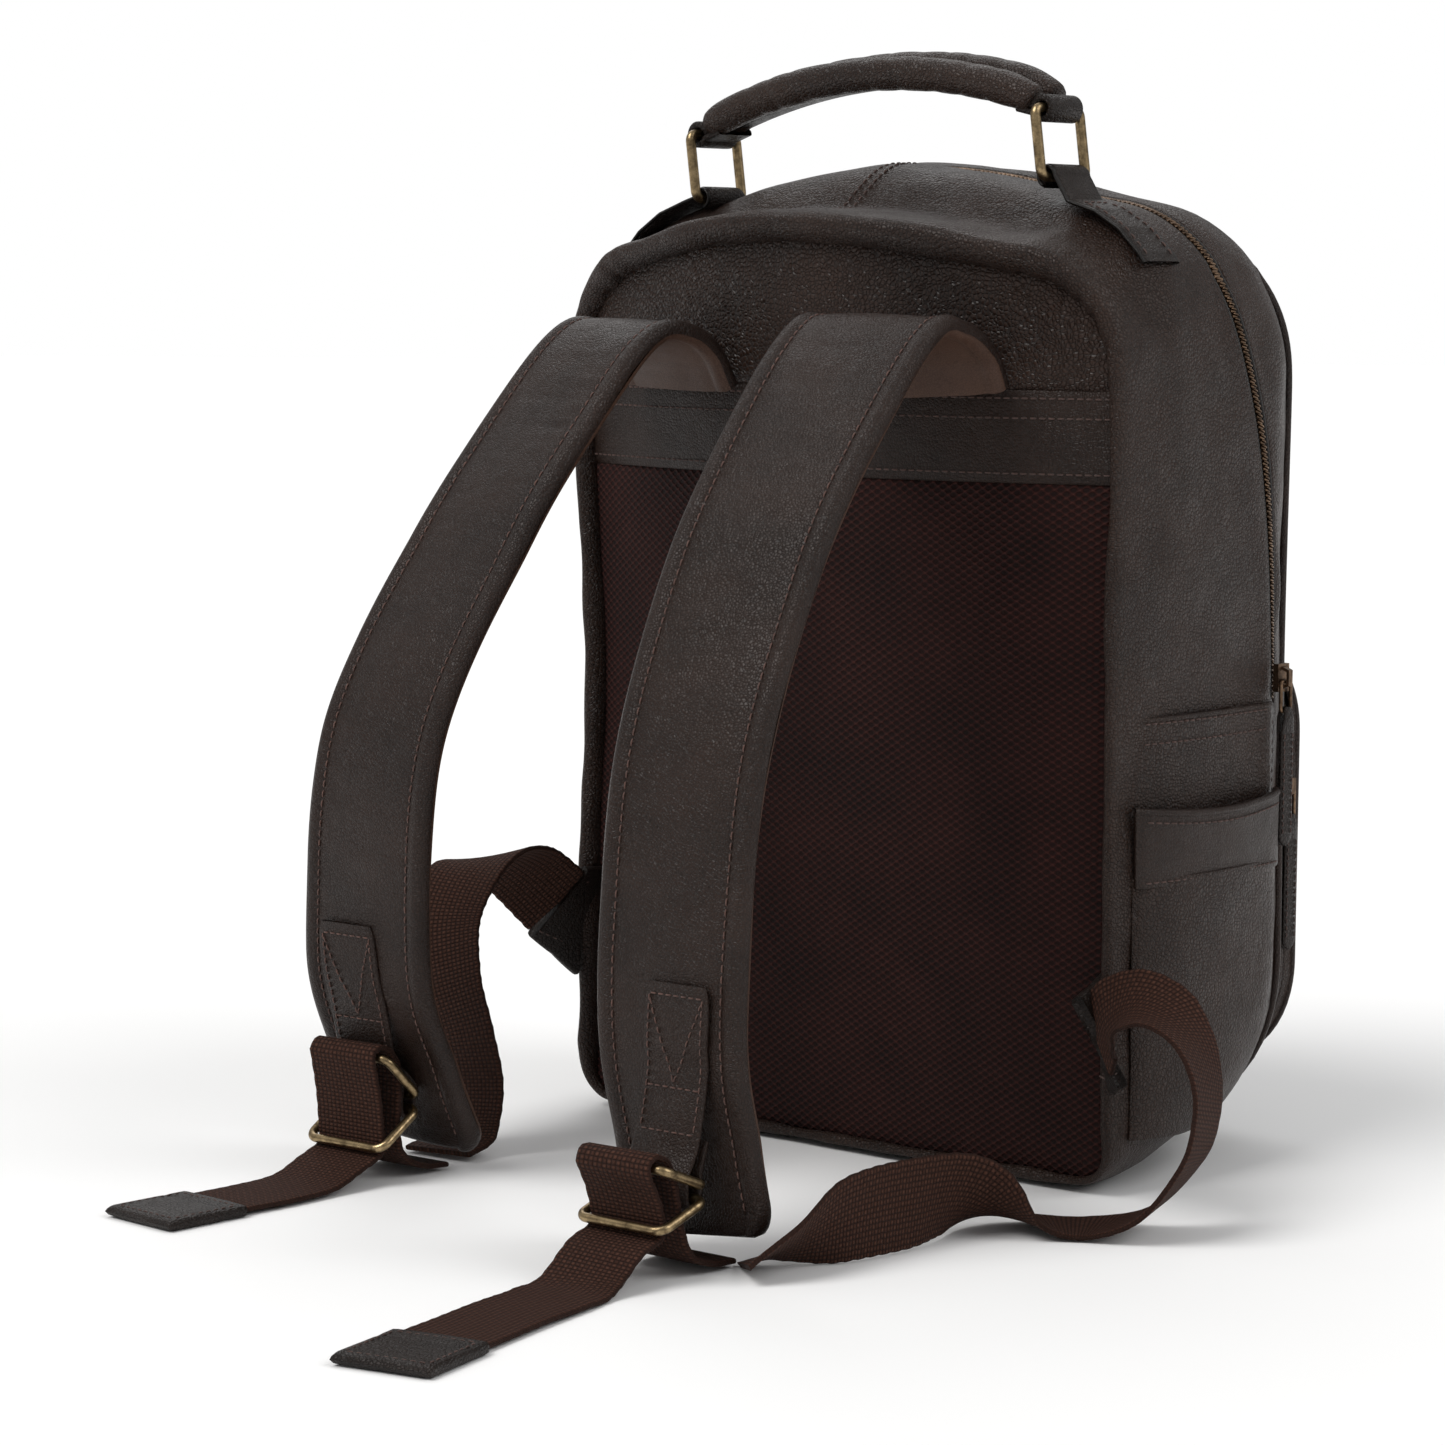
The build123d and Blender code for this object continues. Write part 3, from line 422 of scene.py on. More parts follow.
def tube_grid(path, radii, sides=16, up=(0, 0, 1), closed=False):
    """Points of a round or oval tube; radii are pairs (across, along up) per point or one pair."""
    path = np.asarray(path, float)
    count = len(path)
    if closed:
        tangent = np.roll(path, -1, 0) - np.roll(path, 1, 0)
    else:
        tangent = np.gradient(path, axis=0)
    tangent = unit(tangent)
    up = np.broadcast_to(np.asarray(up, float), path.shape)
    side = np.cross(tangent, up)
    side /= np.maximum(np.linalg.norm(side, axis=1, keepdims=True), 1e-9)
    top = np.cross(side, tangent)
    radii = np.broadcast_to(np.asarray(radii, float), (count, 2))
    grid = np.zeros((count, sides, 3))
    for q in range(sides):
        angle = 2 * pi * q / sides
        grid[:, q] = path + side * (cos(angle) * radii[:, :1]) + top * (sin(angle) * radii[:, 1:])
    return grid


def tube(name, path, radii, material, sides=16, up=(0, 0, 1), closed=False):
    """Object of a tube along a path."""
    grid = tube_grid(path, radii, sides, up, closed)
    return grid_object(name, grid, material, closed_u=closed, closed_v=True)


# ------------------------------------------------------------------ the bag's own shape
# depth y, half width, shoulder height, shoulder radius, crown, foot radius, foot; millimetres
SECTIONS = np.array([
    (-60.0, 151.0, 394.0, 50.0, 14.0, 16.0, 2.0),
    (-36.0, 154.0, 409.0, 60.0, 16.0, 34.0, 0.0),
    (-8.0, 154.5, 411.5, 62.0, 16.0, 50.0, 0.0),
    (20.0, 153.5, 413.0, 64.0, 16.0, 64.0, 1.0),
    (46.0, 151.0, 408.0, 66.0, 15.0, 78.0, 3.0),
    (72.0, 137.0, 397.0, 58.0, 13.0, 66.0, 8.0),
])
ZIP_LINE = np.array([(205.0, 50.0), (262.0, 43.0), (318.0, 30.0), (366.0, 9.0), (440.0, -8.0)])
ZIP_END = 199.0
SLOT_HALF = 4.4
SEGMENTS = [(0, 12), (1, 12), (2, 60), (3, 20), (4, 26)]   # base, foot, side, shoulder, crown


def half_course():
    course = [(kind, (k + 0.5) / count) for kind, count in SEGMENTS for k in range(count)]
    return np.array([c[0] for c in course]), np.array([c[1] for c in course])


KIND, SHARE = half_course()
HALF = len(KIND)
KIND = np.concatenate([KIND, KIND[::-1]])
SHARE = np.concatenate([SHARE, SHARE[::-1]])
SIDE = np.concatenate([np.ones(HALF), -np.ones(HALF)])
ROUND = len(KIND)


def arch_xz(half, top, radius, crown, foot_r, foot):
    """Points of an arch outline for every course position; arguments broadcast over columns."""
    kind, share, sign = KIND[:, None], SHARE[:, None], SIDE[:, None]
    angle = share * pi / 2
    flat = half - foot_r
    reach = half - radius
    sphere = (reach ** 2 + crown ** 2) / (2 * crown)
    swing = np.arcsin(np.clip(reach / sphere, -1, 1)) * (1 - share)
    xs = [share * flat, flat + foot_r * np.sin(angle), half + 0 * share, reach + radius * np.cos(angle),
        sphere * np.sin(swing)]
    zs = [foot + 0 * share, foot + foot_r - foot_r * np.cos(angle),
        foot + foot_r + share * (top - radius - foot - foot_r),
          top - radius + radius * np.sin(angle), top + crown - sphere + sphere * np.cos(swing)]
    x = np.select([kind == k for k in range(5)], xs)
    z = np.select([kind == k for k in range(5)], zs)
    return x * sign, z


def smooth_table(y, table):
    """Section values at depths y, on a smooth curve through the table's rows."""
    rows = np.vstack([2 * table[0] - table[1], table, 2 * table[-1] - table[-2]])
    y = np.asarray(y, float)
    span = np.clip(np.searchsorted(table[:, 0], y, side="right") - 1, 0, len(table) - 2)
    t = (y - table[span, 0]) / (table[span + 1, 0] - table[span, 0])
    t = np.clip(t, 0, 1)[..., None]
    p0, p1, p2, p3 = rows[span], rows[span + 1], rows[span + 2], rows[span + 3]
    return spline(p0, p1, p2, p3, t)


def soften(grid, passes=6):
    """Rounds a closed outline's corners a little."""
    for _ in range(passes):
        grid = grid * 0.5 + (np.roll(grid, 1, 0) + np.roll(grid, -1, 0)) * 0.25
    return grid


def body_grid(depths, grow=0.0, table=SECTIONS):
    """Points on the body at depths (course position, column), grown outwards, in metres."""
    depths = np.asarray(depths, float)
    if depths.ndim == 1:
        depths = np.broadcast_to(depths, (ROUND, len(depths)))
    grow = np.broadcast_to(grow, depths.shape)
    s = smooth_table(depths, table)
    x, z = arch_xz(s[..., 1] + grow, s[..., 2] + grow, np.maximum(s[..., 3] + grow, 3), s[..., 4],
        np.maximum(s[..., 5] + grow, 2), s[..., 6] - grow)
    return relax(soften(np.stack([x, depths, z], 2)) * MM)


def relax(points):
    """The stuffed bag's soft deviations from its clean shape: a pulled-in flank and light sag."""
    x, y, z = points[..., 0], points[..., 1], points[..., 2]
    waist = np.exp(-((z - 0.195) / 0.085) ** 2) * np.clip(-x / 0.12, 0, 1) ** 2
    low = np.exp(-((z - 0.05) / 0.06) ** 2) * np.clip(-x / 0.12, 0, 1) ** 2
    moved = points.copy()
    moved[..., 0] = x + 0.0085 * waist + 0.005 * low
    right = np.exp(-((z - 0.22) / 0.10) ** 2) * np.clip(x / 0.12, 0, 1) ** 2
    moved[..., 0] -= 0.0015 * right
    moved[..., 2] = np.where(z > 0.38, z - 0.0015 * np.sin(x * 26 + 0.6), z)
    return moved


def zip_depth(height_mm):
    """Depth of the main zipper's line at a height."""
    dense_z = np.linspace(205, 440, 200)
    dense_y = smooth_table(dense_z, ZIP_LINE)[:, 1]
    return np.interp(height_mm, dense_z, dense_y)


def zip_course(shift, grow=0.0):
    """For each course position, the depth where the surface meets the zipper line moved by shift."""
    depth = np.full((ROUND, 1), 50.0)
    for _ in range(12):
        z = body_grid(depth, grow)[..., 2] / MM
        slope = (zip_depth(z + 2) - zip_depth(z - 2)) / 4
        depth = depth * 0.4 + 0.6 * (zip_depth(z) + shift * np.sqrt(1 + slope ** 2))
    return depth


PUCKER = 0.0016


def dress(grid, amount=PUCKER, seed=1.0, size=0.07, fade=None):
    """Pushes a leather surface in and out along its normals by soft noise."""
    normals = grid_normals(grid, closed_u=False)
    push = wobble(grid, size, amount, seed) + wobble(grid, size * 0.33, amount * 0.35, seed + 5)
    if fade is not None:
        push = push * fade
    return grid + normals * push[..., None]


# panel outline, millimetres
PANEL_HALF, PANEL_TOP, PANEL_CORNER, PANEL_CROWN, PANEL_FOOT = 146.0, 383.0, 44.0, 14.0, 6.0
SEAM_Y = -62.0


def bulge(x_mm, z_mm):
    """How far the stuffed back stands out behind its seam."""
    middle = 1.0 + 25.0 * np.sin(np.radians(90.0 * np.clip(z_mm / 345.0, 0.0, 1.12)))
    return middle * np.clip(1 - (x_mm / PANEL_HALF) ** 2, 0, None)


# ---- rear skin, from behind the roll to the zipper
ROLL_GROW = 3.4
roll_x, roll_z = arch_xz(PANEL_HALF + ROLL_GROW, PANEL_TOP + ROLL_GROW, PANEL_CORNER + ROLL_GROW,
    PANEL_CROWN, 14.0 + ROLL_GROW, PANEL_FOOT - ROLL_GROW + 1.6)
roll_line = soften(np.stack([roll_x[:, 0], SEAM_Y - 1.5 - bulge(roll_x, roll_z)[:, 0], roll_z[:, 0]], 1)[:,
    None, :])[:, 0]

zip_rear = zip_course(-SLOT_HALF)
zip_front = zip_course(SLOT_HALF)
height = body_grid(zip_course(0.0))[..., 2] / MM
open_part = 1 / (1 + np.exp(-(height - ZIP_END) / 1.5))
rear_edge = 49.8 * (1 - open_part) + zip_rear * open_part
front_edge = 50.2 * (1 - open_part) + zip_front * open_part

columns = np.linspace(0, 1, 34)[None, :]
start = np.minimum(roll_line[:, 1:2] + 3.5, -60.0)
depths = start + (rear_edge - start) * columns
clean = body_grid(np.maximum(depths, -60.0))
clean[..., 1] = depths * MM
sink = np.clip((-58.0 - depths) / 22.0, 0, 1)
clean[..., 2] -= sink * 0.0025 * (clean[..., 2] > 0.3)
edge_fade = np.minimum(columns / 0.12, 1.0) * np.minimum((1 - columns) / 0.10, 1.0)
floor_fade = np.clip(clean[..., 2] / 0.05, 0.0, 1)
rear = dress(clean, 0.0030, 1.0, 0.075, edge_fade * floor_fade)
rear[..., 2] = np.maximum(rear[..., 2], 0.0002)


def turned_in(grid, column, inward, depth_shift):
    """Two extra columns that fold a sheet's edge in."""
    normals = grid_normals(grid)
    edge, normal = grid[:, column], normals[:, column]
    toward = grid[:, column] - grid[:, column - 1 if column < 0 else column + 1]
    toward = toward / np.maximum(np.linalg.norm(toward, axis=1, keepdims=True), 1e-9)
    first = edge + toward * depth_shift * 0.7 + normal * inward * 0.35
    second = edge + toward * depth_shift * 0.8 + normal * inward
    return first[:, None], second[:, None]


out_sign = -1.0 if (grid_normals(rear)[HALF - 1, 10] @ np.array([0, 0, 1])) > 0 else 1.0


def finer(grid, times):
    """A closed outline's grid with more rows, on smooth curves through its own."""
    rows = []
    p0, p1, p2, p3 = np.roll(grid, 1, 0), grid, np.roll(grid, -1, 0), np.roll(grid, -2, 0)
    for k in range(times):
        t = k / times
        rows.append(spline(p0, p1, p2, p3, t))
    return np.stack(rows, 1).reshape(-1, *grid.shape[1:])


ROLL_WIDE, ROLL_DEEP = 4.6 * MM, 7.0 * MM
roll_centre = relax(roll_line * MM)
course = np.roll(roll_centre, -1, 0) - np.roll(roll_centre, 1, 0)
course[:, 1] = 0.0
course = unit(course)
rearward = np.array([0.0, -1.0, 0.0])
roll_out = np.cross(course, rearward)
if roll_out[HALF - 1, 2] < 0:
    roll_out = -roll_out
upper = np.clip((roll_centre[:, 2] - 0.330) / 0.05, 0, 1)
lower = np.clip((0.030 - roll_centre[:, 2]) / 0.022, 0, 1)
turns = np.radians(np.linspace(215.0, 12.0, 22))
roll_part = np.zeros((ROUND, len(turns), 3))
for q, angle in enumerate(turns):
    wide = ROLL_WIDE * (1 + 0.75 * upper - 0.40 * lower)
    deep = ROLL_DEEP * (1 + 0.25 * upper - 0.62 * lower)
    spot = roll_centre + roll_out * (cos(angle) * wide + 0.0012 * upper)[:,
        None] + rearward * (sin(angle) * deep + 0.0010)[:, None]
    roll_part[:, q] = spot
skin = np.concatenate([roll_part, rear[:, 4:]], 1)
JOIN = len(turns)
for _ in range(26):
    middle = (skin[:, :-2] + skin[:, 2:]) * 0.5
    reach = np.exp(-((np.arange(1, skin.shape[1] - 1) - JOIN) / 4.0) ** 2)[None, :, None]
    skin[:, 1:-1] += (middle - skin[:, 1:-1]) * reach * 0.8
a, b = turned_in(skin, -1, out_sign * 0.0016, 0.0007)
skin = finer(np.concatenate([skin, a, b], 1), 3)
corner_mask = np.repeat(np.clip((KIND == 3).astype(float), 0, 1), 3)
for _ in range(30):
    corner_mask = (corner_mask + np.roll(corner_mask, 1) + np.roll(corner_mask, -1)) / 3
shares = np.arange(skin.shape[1])[None, :]
gather = np.exp(-(shares / 11.0) ** 2) * corner_mask[:, None]
phase = np.arange(len(skin))[:, None] * 0.62 + wobble(skin, 0.018, 5.0, 6.0)
skin_normals = grid_normals(skin, closed_u=True)
if skin_normals[3 * HALF, 30, 2] < 0:
    skin_normals = -skin_normals
soft_part = np.clip((JOIN + 6 - shares) / 6.0, 0, 1)
push = np.sin(phase) * 0.00085 * gather + wobble(skin, 0.030, 0.0013, 4.0) * soft_part
fold = np.exp(-((shares - 27) / 5.0) ** 2) * corner_mask[:, None] * wobble(skin, 0.022, 0.0035, 14.0)
skin = skin + skin_normals * (push + fold)[..., None]
skin[..., 2] = np.maximum(skin[..., 2], 0.0002)
body_rear = grid_object("body_rear_gusset", skin, LEATHER, closed_u=True)
place(body_rear, "bag", "leather",
    ["gusset_left", "gusset_right", "base_panel", "edge_roll_left", "edge_roll_right"])

# ---- front skin, from the zipper to the front seam
columns = np.linspace(0, 1, 22)[None, :]
depths = front_edge + (72.0 - front_edge) * columns
clean = body_grid(depths)
edge_fade = np.minimum(columns / 0.15, 1.0) * np.minimum((1 - columns) / 0.15, 1.0)
floor_fade = np.clip(clean[..., 2] / 0.05, 0.0, 1)
front = dress(clean, 0.0030, 3.0, 0.075, edge_fade * floor_fade)
a, b = turned_in(front, 0, out_sign * 0.0016, 0.0007)
front_full = np.concatenate([b, a, front], 1)
body_front = grid_object("body_front_gusset", front_full, LEATHER, closed_u=True)
place(body_front, "bag", "leather", ["front_gusset"])


def capped_face(name, outline, y_edge, dome, rings, material, seed=2.0, noise_amount=0.0015):
    """Domed face that closes an outline, made of shrinking copies of it."""
    shares = np.linspace(1.0, 0.0005, rings)
    centre = np.array([0.0, 0.0, (outline[:, 2].max() + outline[:, 2].min()) / 2])
    grid = np.zeros((len(outline), rings, 3))
    for k, share in enumerate(shares):
        ring = centre + (outline - centre) * share
        ring[:, 1] = y_edge + dome * (1 - share ** 4)
        grid[:, k] = ring
    grid[..., 1] += wobble(grid, 0.07, noise_amount, seed) * (1 - shares[None, :] ** 6)
    return grid_object(name, grid, material, closed_u=True)


front_outline = body_grid(np.full((ROUND, 1), 72.0), -0.6)[:, 0]
front_face = capped_face("front_panel_leather", front_outline, 0.0736, 0.0030, 26, LEATHER)
place(front_face, "bag", "leather", ["front_panel"])
piping_line = body_grid(np.full((ROUND, 1), 72.0), 0.6)[:, 0]
piping_line[:, 1] = 0.0730
piping = tube("front_seam_piping", piping_line, (0.0019, 0.0019), SMOOTH, 10, (0, 1, 0), closed=True)
place(piping, "bag", "leather")

# ---- inner lining
lining_depths = np.linspace(-57.0, 70.0, 14)
lining = grid_object("bag_lining", body_grid(lining_depths, -3.8), LINING, closed_u=True)
place(lining, "bag", "lining", ["body_lining"])

# ------------------------------------------------------------------ main zipper
run = np.where(height[:, 0] > ZIP_END - 1)[0]


def zip_band(shifts, grows):
    columns = [body_grid(zip_course(shift), grow)[:, 0] for shift, grow in zip(shifts, grows)]
    return np.stack(columns, 1)[run]


for word, sign in (("rear", -1), ("front", 1)):
    tape_grid = zip_band([sign * v for v in (7.0, 5.2, 4.2, 3.2, 1.6, 0.7)],
        [-2.4, -2.3, -1.5, -1.4, -2.0, -2.0])
    tape = thicken(grid_object(f"main_zipper_tape_{word}", tape_grid, TAPE), 0.0007)
    place(tape, "bag", "zipper_tape", ["main_zipper_tape"] if sign < 0 else [])
    cord_line = zip_band([sign * 3.75], [-0.9])[:, 0]
    cord = tube(f"main_zipper_cord_{word}", cord_line, (0.0008, 0.0008), TAPE, 8, (0, 1, 0))
    place(cord, "bag", "zipper_tape")


def zipper_teeth(name, line, outward, across, pitch=0.0023, node=None):
    """Interlocked metal teeth along a line, alternately from each side."""
    both = np.hstack([line, outward, across])
    count = int(path_length(line) / (pitch / 2))
    both = even(both, count)
    verts, faces = [], []
    for k in range(len(both)):
        centre, normal, side = both[k, :3], both[k, 3:6], both[k, 6:9]
        normal, side = normal / np.linalg.norm(normal), side / np.linalg.norm(side)
        along = np.cross(normal, side)
        sign = 1 if k % 2 else -1
        base = len(verts)
        # root, waist and rounded head of one tooth
        for reach, long, tall, drift in ((2.5, 0.50, 0.55, -0.25), (1.2, 0.50, 0.85, 0.0),
                (-0.5, 0.46, 0.95, 0.18), (-1.25, 0.26, 0.62, 0.25)):
            spot = centre + side * sign * reach * MM + along * drift * sign * MM
            for u, v in ((-1, -1), (1, -1), (1, 0.45), (0.5, 1), (-0.5, 1), (-1, 0.45)):
                verts.append(spot + along * u * long * MM * 1.05 + normal * v * tall * MM)
        for r in range(3):
            for q in range(6):
                a, b = base + r * 6 + q, base + r * 6 + (q + 1) % 6
                faces.append((a, b, b + 6, a + 6))
        faces.append([base + q for q in range(6)][::-1])
        faces.append([base + 18 + q for q in range(6)])
    piece = raw_object(name, verts, faces, TEETH)
    modifier = piece.modifiers.new("bevel", "EDGE_SPLIT")
    modifier.split_angle = radians(50)
    bake(piece)
    place(piece, "bag", "zipper_teeth", [node] if node else [])
    return piece


zip_line = zip_band([0.0], [-0.7])[:, 0]
zip_out = zip_band([0.0], [1.0])[:, 0] - zip_line
zip_across = zip_band([1.0], [-0.7])[:, 0] - zip_band([-1.0], [-0.7])[:, 0]
zipper_teeth("main_zipper_metal_teeth", zip_line, zip_out, zip_across, node="main_zipper_teeth")

# ------------------------------------------------------------------ padded back


def panel_columns(x_mm):
    """Lowest and highest edge of the back panel at a distance from its middle."""
    x = abs(x_mm)
    reach = PANEL_HALF - PANEL_CORNER
    sphere = (reach ** 2 + PANEL_CROWN ** 2) / (2 * PANEL_CROWN)
    if x < reach:
        high = PANEL_TOP + PANEL_CROWN - sphere + sqrt(sphere ** 2 - x ** 2)
    else:
        high = PANEL_TOP - PANEL_CORNER + sqrt(max(PANEL_CORNER ** 2 - (x - reach) ** 2, 0))
    foot = PANEL_HALF - 14.0
    low = PANEL_FOOT + (14 - sqrt(max(14 ** 2 - (x - foot) ** 2, 0)) if x > foot else 0)
    return low, high


def panel_piece(name, low, high, material, proud, seed, slot_name, nodes, pinch=2.4, lumps=0.0012,
        columns=84, rows=70):
    """One part of the padded back, from one height to another, with sunk sewn edges."""
    t = np.linspace(-1, 1, columns)
    xs = (PANEL_HALF + 1.2) * np.sin(t * pi / 2 * 0.98) / sin(pi / 2 * 0.98)
    grid = np.zeros((columns, rows, 3))
    for i, x in enumerate(xs):
        bottom, top = panel_columns(min(abs(x), PANEL_HALF))
        bottom, top = bottom - 1.0, top + 1.0
        z0, z1 = (bottom if low is None else max(low, bottom)), (top if high is None else min(high, top))
        share = 0.5 - 0.5 * np.cos(np.linspace(0, pi, rows))
        zs = z0 + (z1 - z0) * (0.35 * np.linspace(0, 1, rows) + 0.65 * share)
        rim = np.minimum(zs - z0, z1 - zs)
        rim = np.minimum(rim, PANEL_HALF + 1.2 - abs(x))
        swell = pinch * (1 - np.exp(-np.clip(rim, 0, None) / 3.2))
        y = SEAM_Y + 0.8 - bulge(np.full(rows, x), zs) - proud - swell
        grid[i] = np.stack([np.full(rows, x), y, zs], 1)
    grid = relax(grid * MM)
    grid[..., 1] += wobble(grid, 0.06, lumps, seed) + wobble(grid, 0.02, lumps * 0.3, seed + 3)
    uv = grid[..., [0, 2]]
    piece = grid_object(name, grid, material, uv=uv)
    thicken(piece, 0.0012, 0.0)
    place(piece, "bag", slot_name, nodes)
    return piece, grid


mesh_back, _ = panel_piece("back_air_mesh", None, 295.2, AIR_MESH, 0.0, 7.0, "air_mesh",
    ["mesh_back_panel", "back_foam_pad"])
_, band_grid = panel_piece("strap_band_leather", 294.5, 332.5, SMOOTH, 1.2, 8.0, "leather",
    ["strap_anchor_band"], 1.4, 0.0006, 84, 26)
yoke_piece, _ = panel_piece("yoke_padded_leather", 332.5, None, YOKE, 0.8, 9.0, "leather", ["back_yoke"],
    2.8, 0.0016, 84, 34)


def on_grid_row(grid, z_value, offset=0.0, low_x=-0.1435, high_x=0.1435):
    """Path across a grid at a height, with normals."""
    normals = grid_normals(grid)
    if normals[len(grid) // 2, grid.shape[1] // 2, 1] > 0:
        normals = -normals
    path, outs = [], []
    for column, normal in zip(grid, normals):
        if low_x <= column[0, 0] <= high_x and column[:, 2].min() <= z_value <= column[:, 2].max():
            path.append([np.interp(z_value, column[:, 2], column[:, k]) for k in range(3)])
            outs.append([np.interp(z_value, column[:, 2], normal[:, k]) for k in range(3)])
    return np.array(path) + np.array(outs) * offset, np.array(outs)


for count, (level, z_value) in enumerate((("top", 0.3292), ("upper", 0.3212), ("low", 0.2985))):
    path, outs = on_grid_row(band_grid, z_value, 0.0007)
    stitches(f"band_stitches_{level}", path, outs, "bag", material=DARK_THREAD)

# ---- centre seam over the top
mid = [HALF - 1, HALF]
seam_path = rear[mid].mean(0)
seam_outs = -out_sign * grid_normals(rear)[mid].mean(0)
for word, shift in (("left", -0.0028), ("right", 0.0028)):
    path = seam_path + np.array([shift, 0, 0.0002])
    stitches(f"top_seam_stitches_{word}", path[2:-3], seam_outs[2:-3], "bag", material=DARK_THREAD)

# ------------------------------------------------------------------ side panels and slip pockets
POCKET_BACK, POCKET_FRONT = -59.0, 44.6


def flank(name, sign, y0, y1, z0, z1, grow, rows=44, columns=30, seed=1.0, bow=0.0, thick=0.0015,
        material=LEATHER, top_rise=0.0):
    """Curved sheet on the bag's side between two depths and two heights."""
    pick = np.where((SIDE == sign) & ((KIND == 2) | (KIND == 1)))[0]
    ys = np.linspace(y0, y1, columns)
    whole = body_grid(np.broadcast_to(ys, (ROUND, columns)), 0.0)
    outer = body_grid(np.broadcast_to(ys, (ROUND, columns)), 1.0)
    direction = (outer - whole)
    direction = unit(direction)
    grid = np.zeros((columns, rows, 3))
    norms = np.zeros((columns, rows, 3))
    for c in range(columns):
        z = whole[pick, c, 2]
        order = np.argsort(z)
        zs = np.linspace(z0, z1 + top_rise * sin(pi * c / (columns - 1)), rows) * MM
        for k in range(3):
            grid[c, :, k] = np.interp(zs, z[order], whole[pick, c, k][order])
            norms[c, :, k] = np.interp(zs, z[order], direction[pick, c, k][order])
        grid[c, :, 2] = zs
    s = np.linspace(0, 1, columns)[:, None]
    t = np.linspace(0, 1, rows)[None, :]
    belly = np.sin(pi * s) ** 0.7 * (0.35 + 0.65 * t)
    lift = (grow + bow * belly) * MM + wobble(grid, 0.06, 0.0011, seed) * np.sin(pi * s) ** 0.5
    rim = np.minimum(np.minimum(s, 1 - s) * (y1 - y0), 200)
    lift -= 0.0009 * np.exp(-rim / 2.2)
    grid = grid + norms * lift[..., None]
    piece = grid_object(name, grid, material)
    thicken(piece, thick, 0.0)
    soften_edges(piece)
    return piece, grid, norms


def soften_edges(piece, width=0.0005):
    """Small rounding along a sheet's cut edges."""
    modifier = piece.modifiers.new("round", "BEVEL")
    modifier.width = width
    modifier.segments = 2
    modifier.limit_method = "ANGLE"
    modifier.angle_limit = radians(50)
    bake(piece)
    piece.data.polygons.foreach_set("use_smooth", [True] * len(piece.data.polygons))


def at_height(grid, norms, z_value, margin=2):
    path = np.array([[np.interp(z_value, column[:, 2], column[:, k]) for k in range(3)]
        for column in grid[margin:len(grid) - margin]])
    outs = np.array([[np.interp(z_value, column[:, 2], normal[:, k]) for k in range(3)] for column,
        normal in zip(grid[margin:len(grid) - margin], norms[margin:len(grid) - margin])])
    return path, outs


for word, sign in (("right", 1), ("left", -1)):
    panel, grid, norms = flank(f"side_panel_leather_{word}", sign, -59.0, 45.0, 24.0, 198.5, 1.1,
        seed=11 + sign)
    place(panel, "bag", "leather", [f"side_panel_{word}"])
    for level, z_value in (("edge", 0.1963), ("lower", 0.1880)):
        path, outs = at_height(grid, norms, z_value)
        stitches(f"side_panel_{word}_stitches_{level}", path + outs * 0.0009, outs, "bag",
            material=DARK_THREAD)
    fold_path, _ = at_height(grid, norms, 0.1984, 0)
    fold = tube(f"side_panel_fold_{word}", fold_path - np.array([0, 0, 0.0006]), (0.0013, 0.0013), LEATHER,
        8)
    place(fold, "bag", "leather")
    pocket, grid, norms = flank(f"slip_pocket_leather_{word}", sign, POCKET_BACK, POCKET_FRONT, 24.0, 133.0,
        3.0, seed=15 + sign, bow=5.2)
    place(pocket, "bag", "leather", [f"side_pocket_{word}"])
    cuff, grid, norms = flank(f"slip_pocket_cuff_{word}", sign, POCKET_BACK, POCKET_FRONT, 129.0, 161.0,
        4.4, rows=18, seed=15 + sign, bow=6.0, thick=0.0022, material=SMOOTH, top_rise=-3.0)
    place(cuff, "bag", "leather", [f"side_pocket_band_{word}"])
    for level, z_value in (("mouth", 0.1565), ("low", 0.1312)):
        path, outs = at_height(grid, norms, z_value, 1)
        if level == "mouth":
            sway = np.sin(np.linspace(0, pi, len(path)))
            path[:, 2] -= 0.0026 * sway
        stitches(f"slip_pocket_{word}_stitches_{level}", path + outs * 0.0013, outs, "bag",
            material=DARK_THREAD)
    fold = tube(f"slip_pocket_lip_{word}", grid[:, -1], (0.0017, 0.0017), SMOOTH, 8)
    place(fold, "bag", "leather")
    # vertical front seam of the side panel
    pick = np.where((SIDE == sign) & (KIND == 2))[0]
    seam_grid = body_grid(np.broadcast_to(np.array([46.2, 47.4]), (ROUND, 2)), 0.4)[pick]
    seam_norm = body_grid(np.broadcast_to(np.array([46.2, 47.4]), (ROUND, 2)), 1.4)[pick] - seam_grid
    inside = (seam_grid[:, 0, 2] > 0.045) & (seam_grid[:, 0, 2] < 0.192)
    stitches(f"side_seam_stitches_{word}", seam_grid[inside, 0], seam_norm[inside, 0], "bag",
        material=DARK_THREAD)

# ------------------------------------------------------------------ front pocket
FRONT_POCKET = (132.0, 226.0, 42.0, 10.0, 44.0, 30.0)


def pocket_outline(y, grow=0.0):
    half, top, radius, crown, foot_r, foot = FRONT_POCKET
    x, z = arch_xz(half + grow, top + grow, radius + grow, crown, foot_r + grow, foot - grow)
    points = soften(np.stack([x[:, 0], np.full(ROUND, y), z[:, 0]], 1)[:, None, :])[:, 0]
    return points * MM


def pocket_grid(ys, grows):
    return np.stack([pocket_outline(y, grow) for y, grow in zip(ys, grows)], 1)


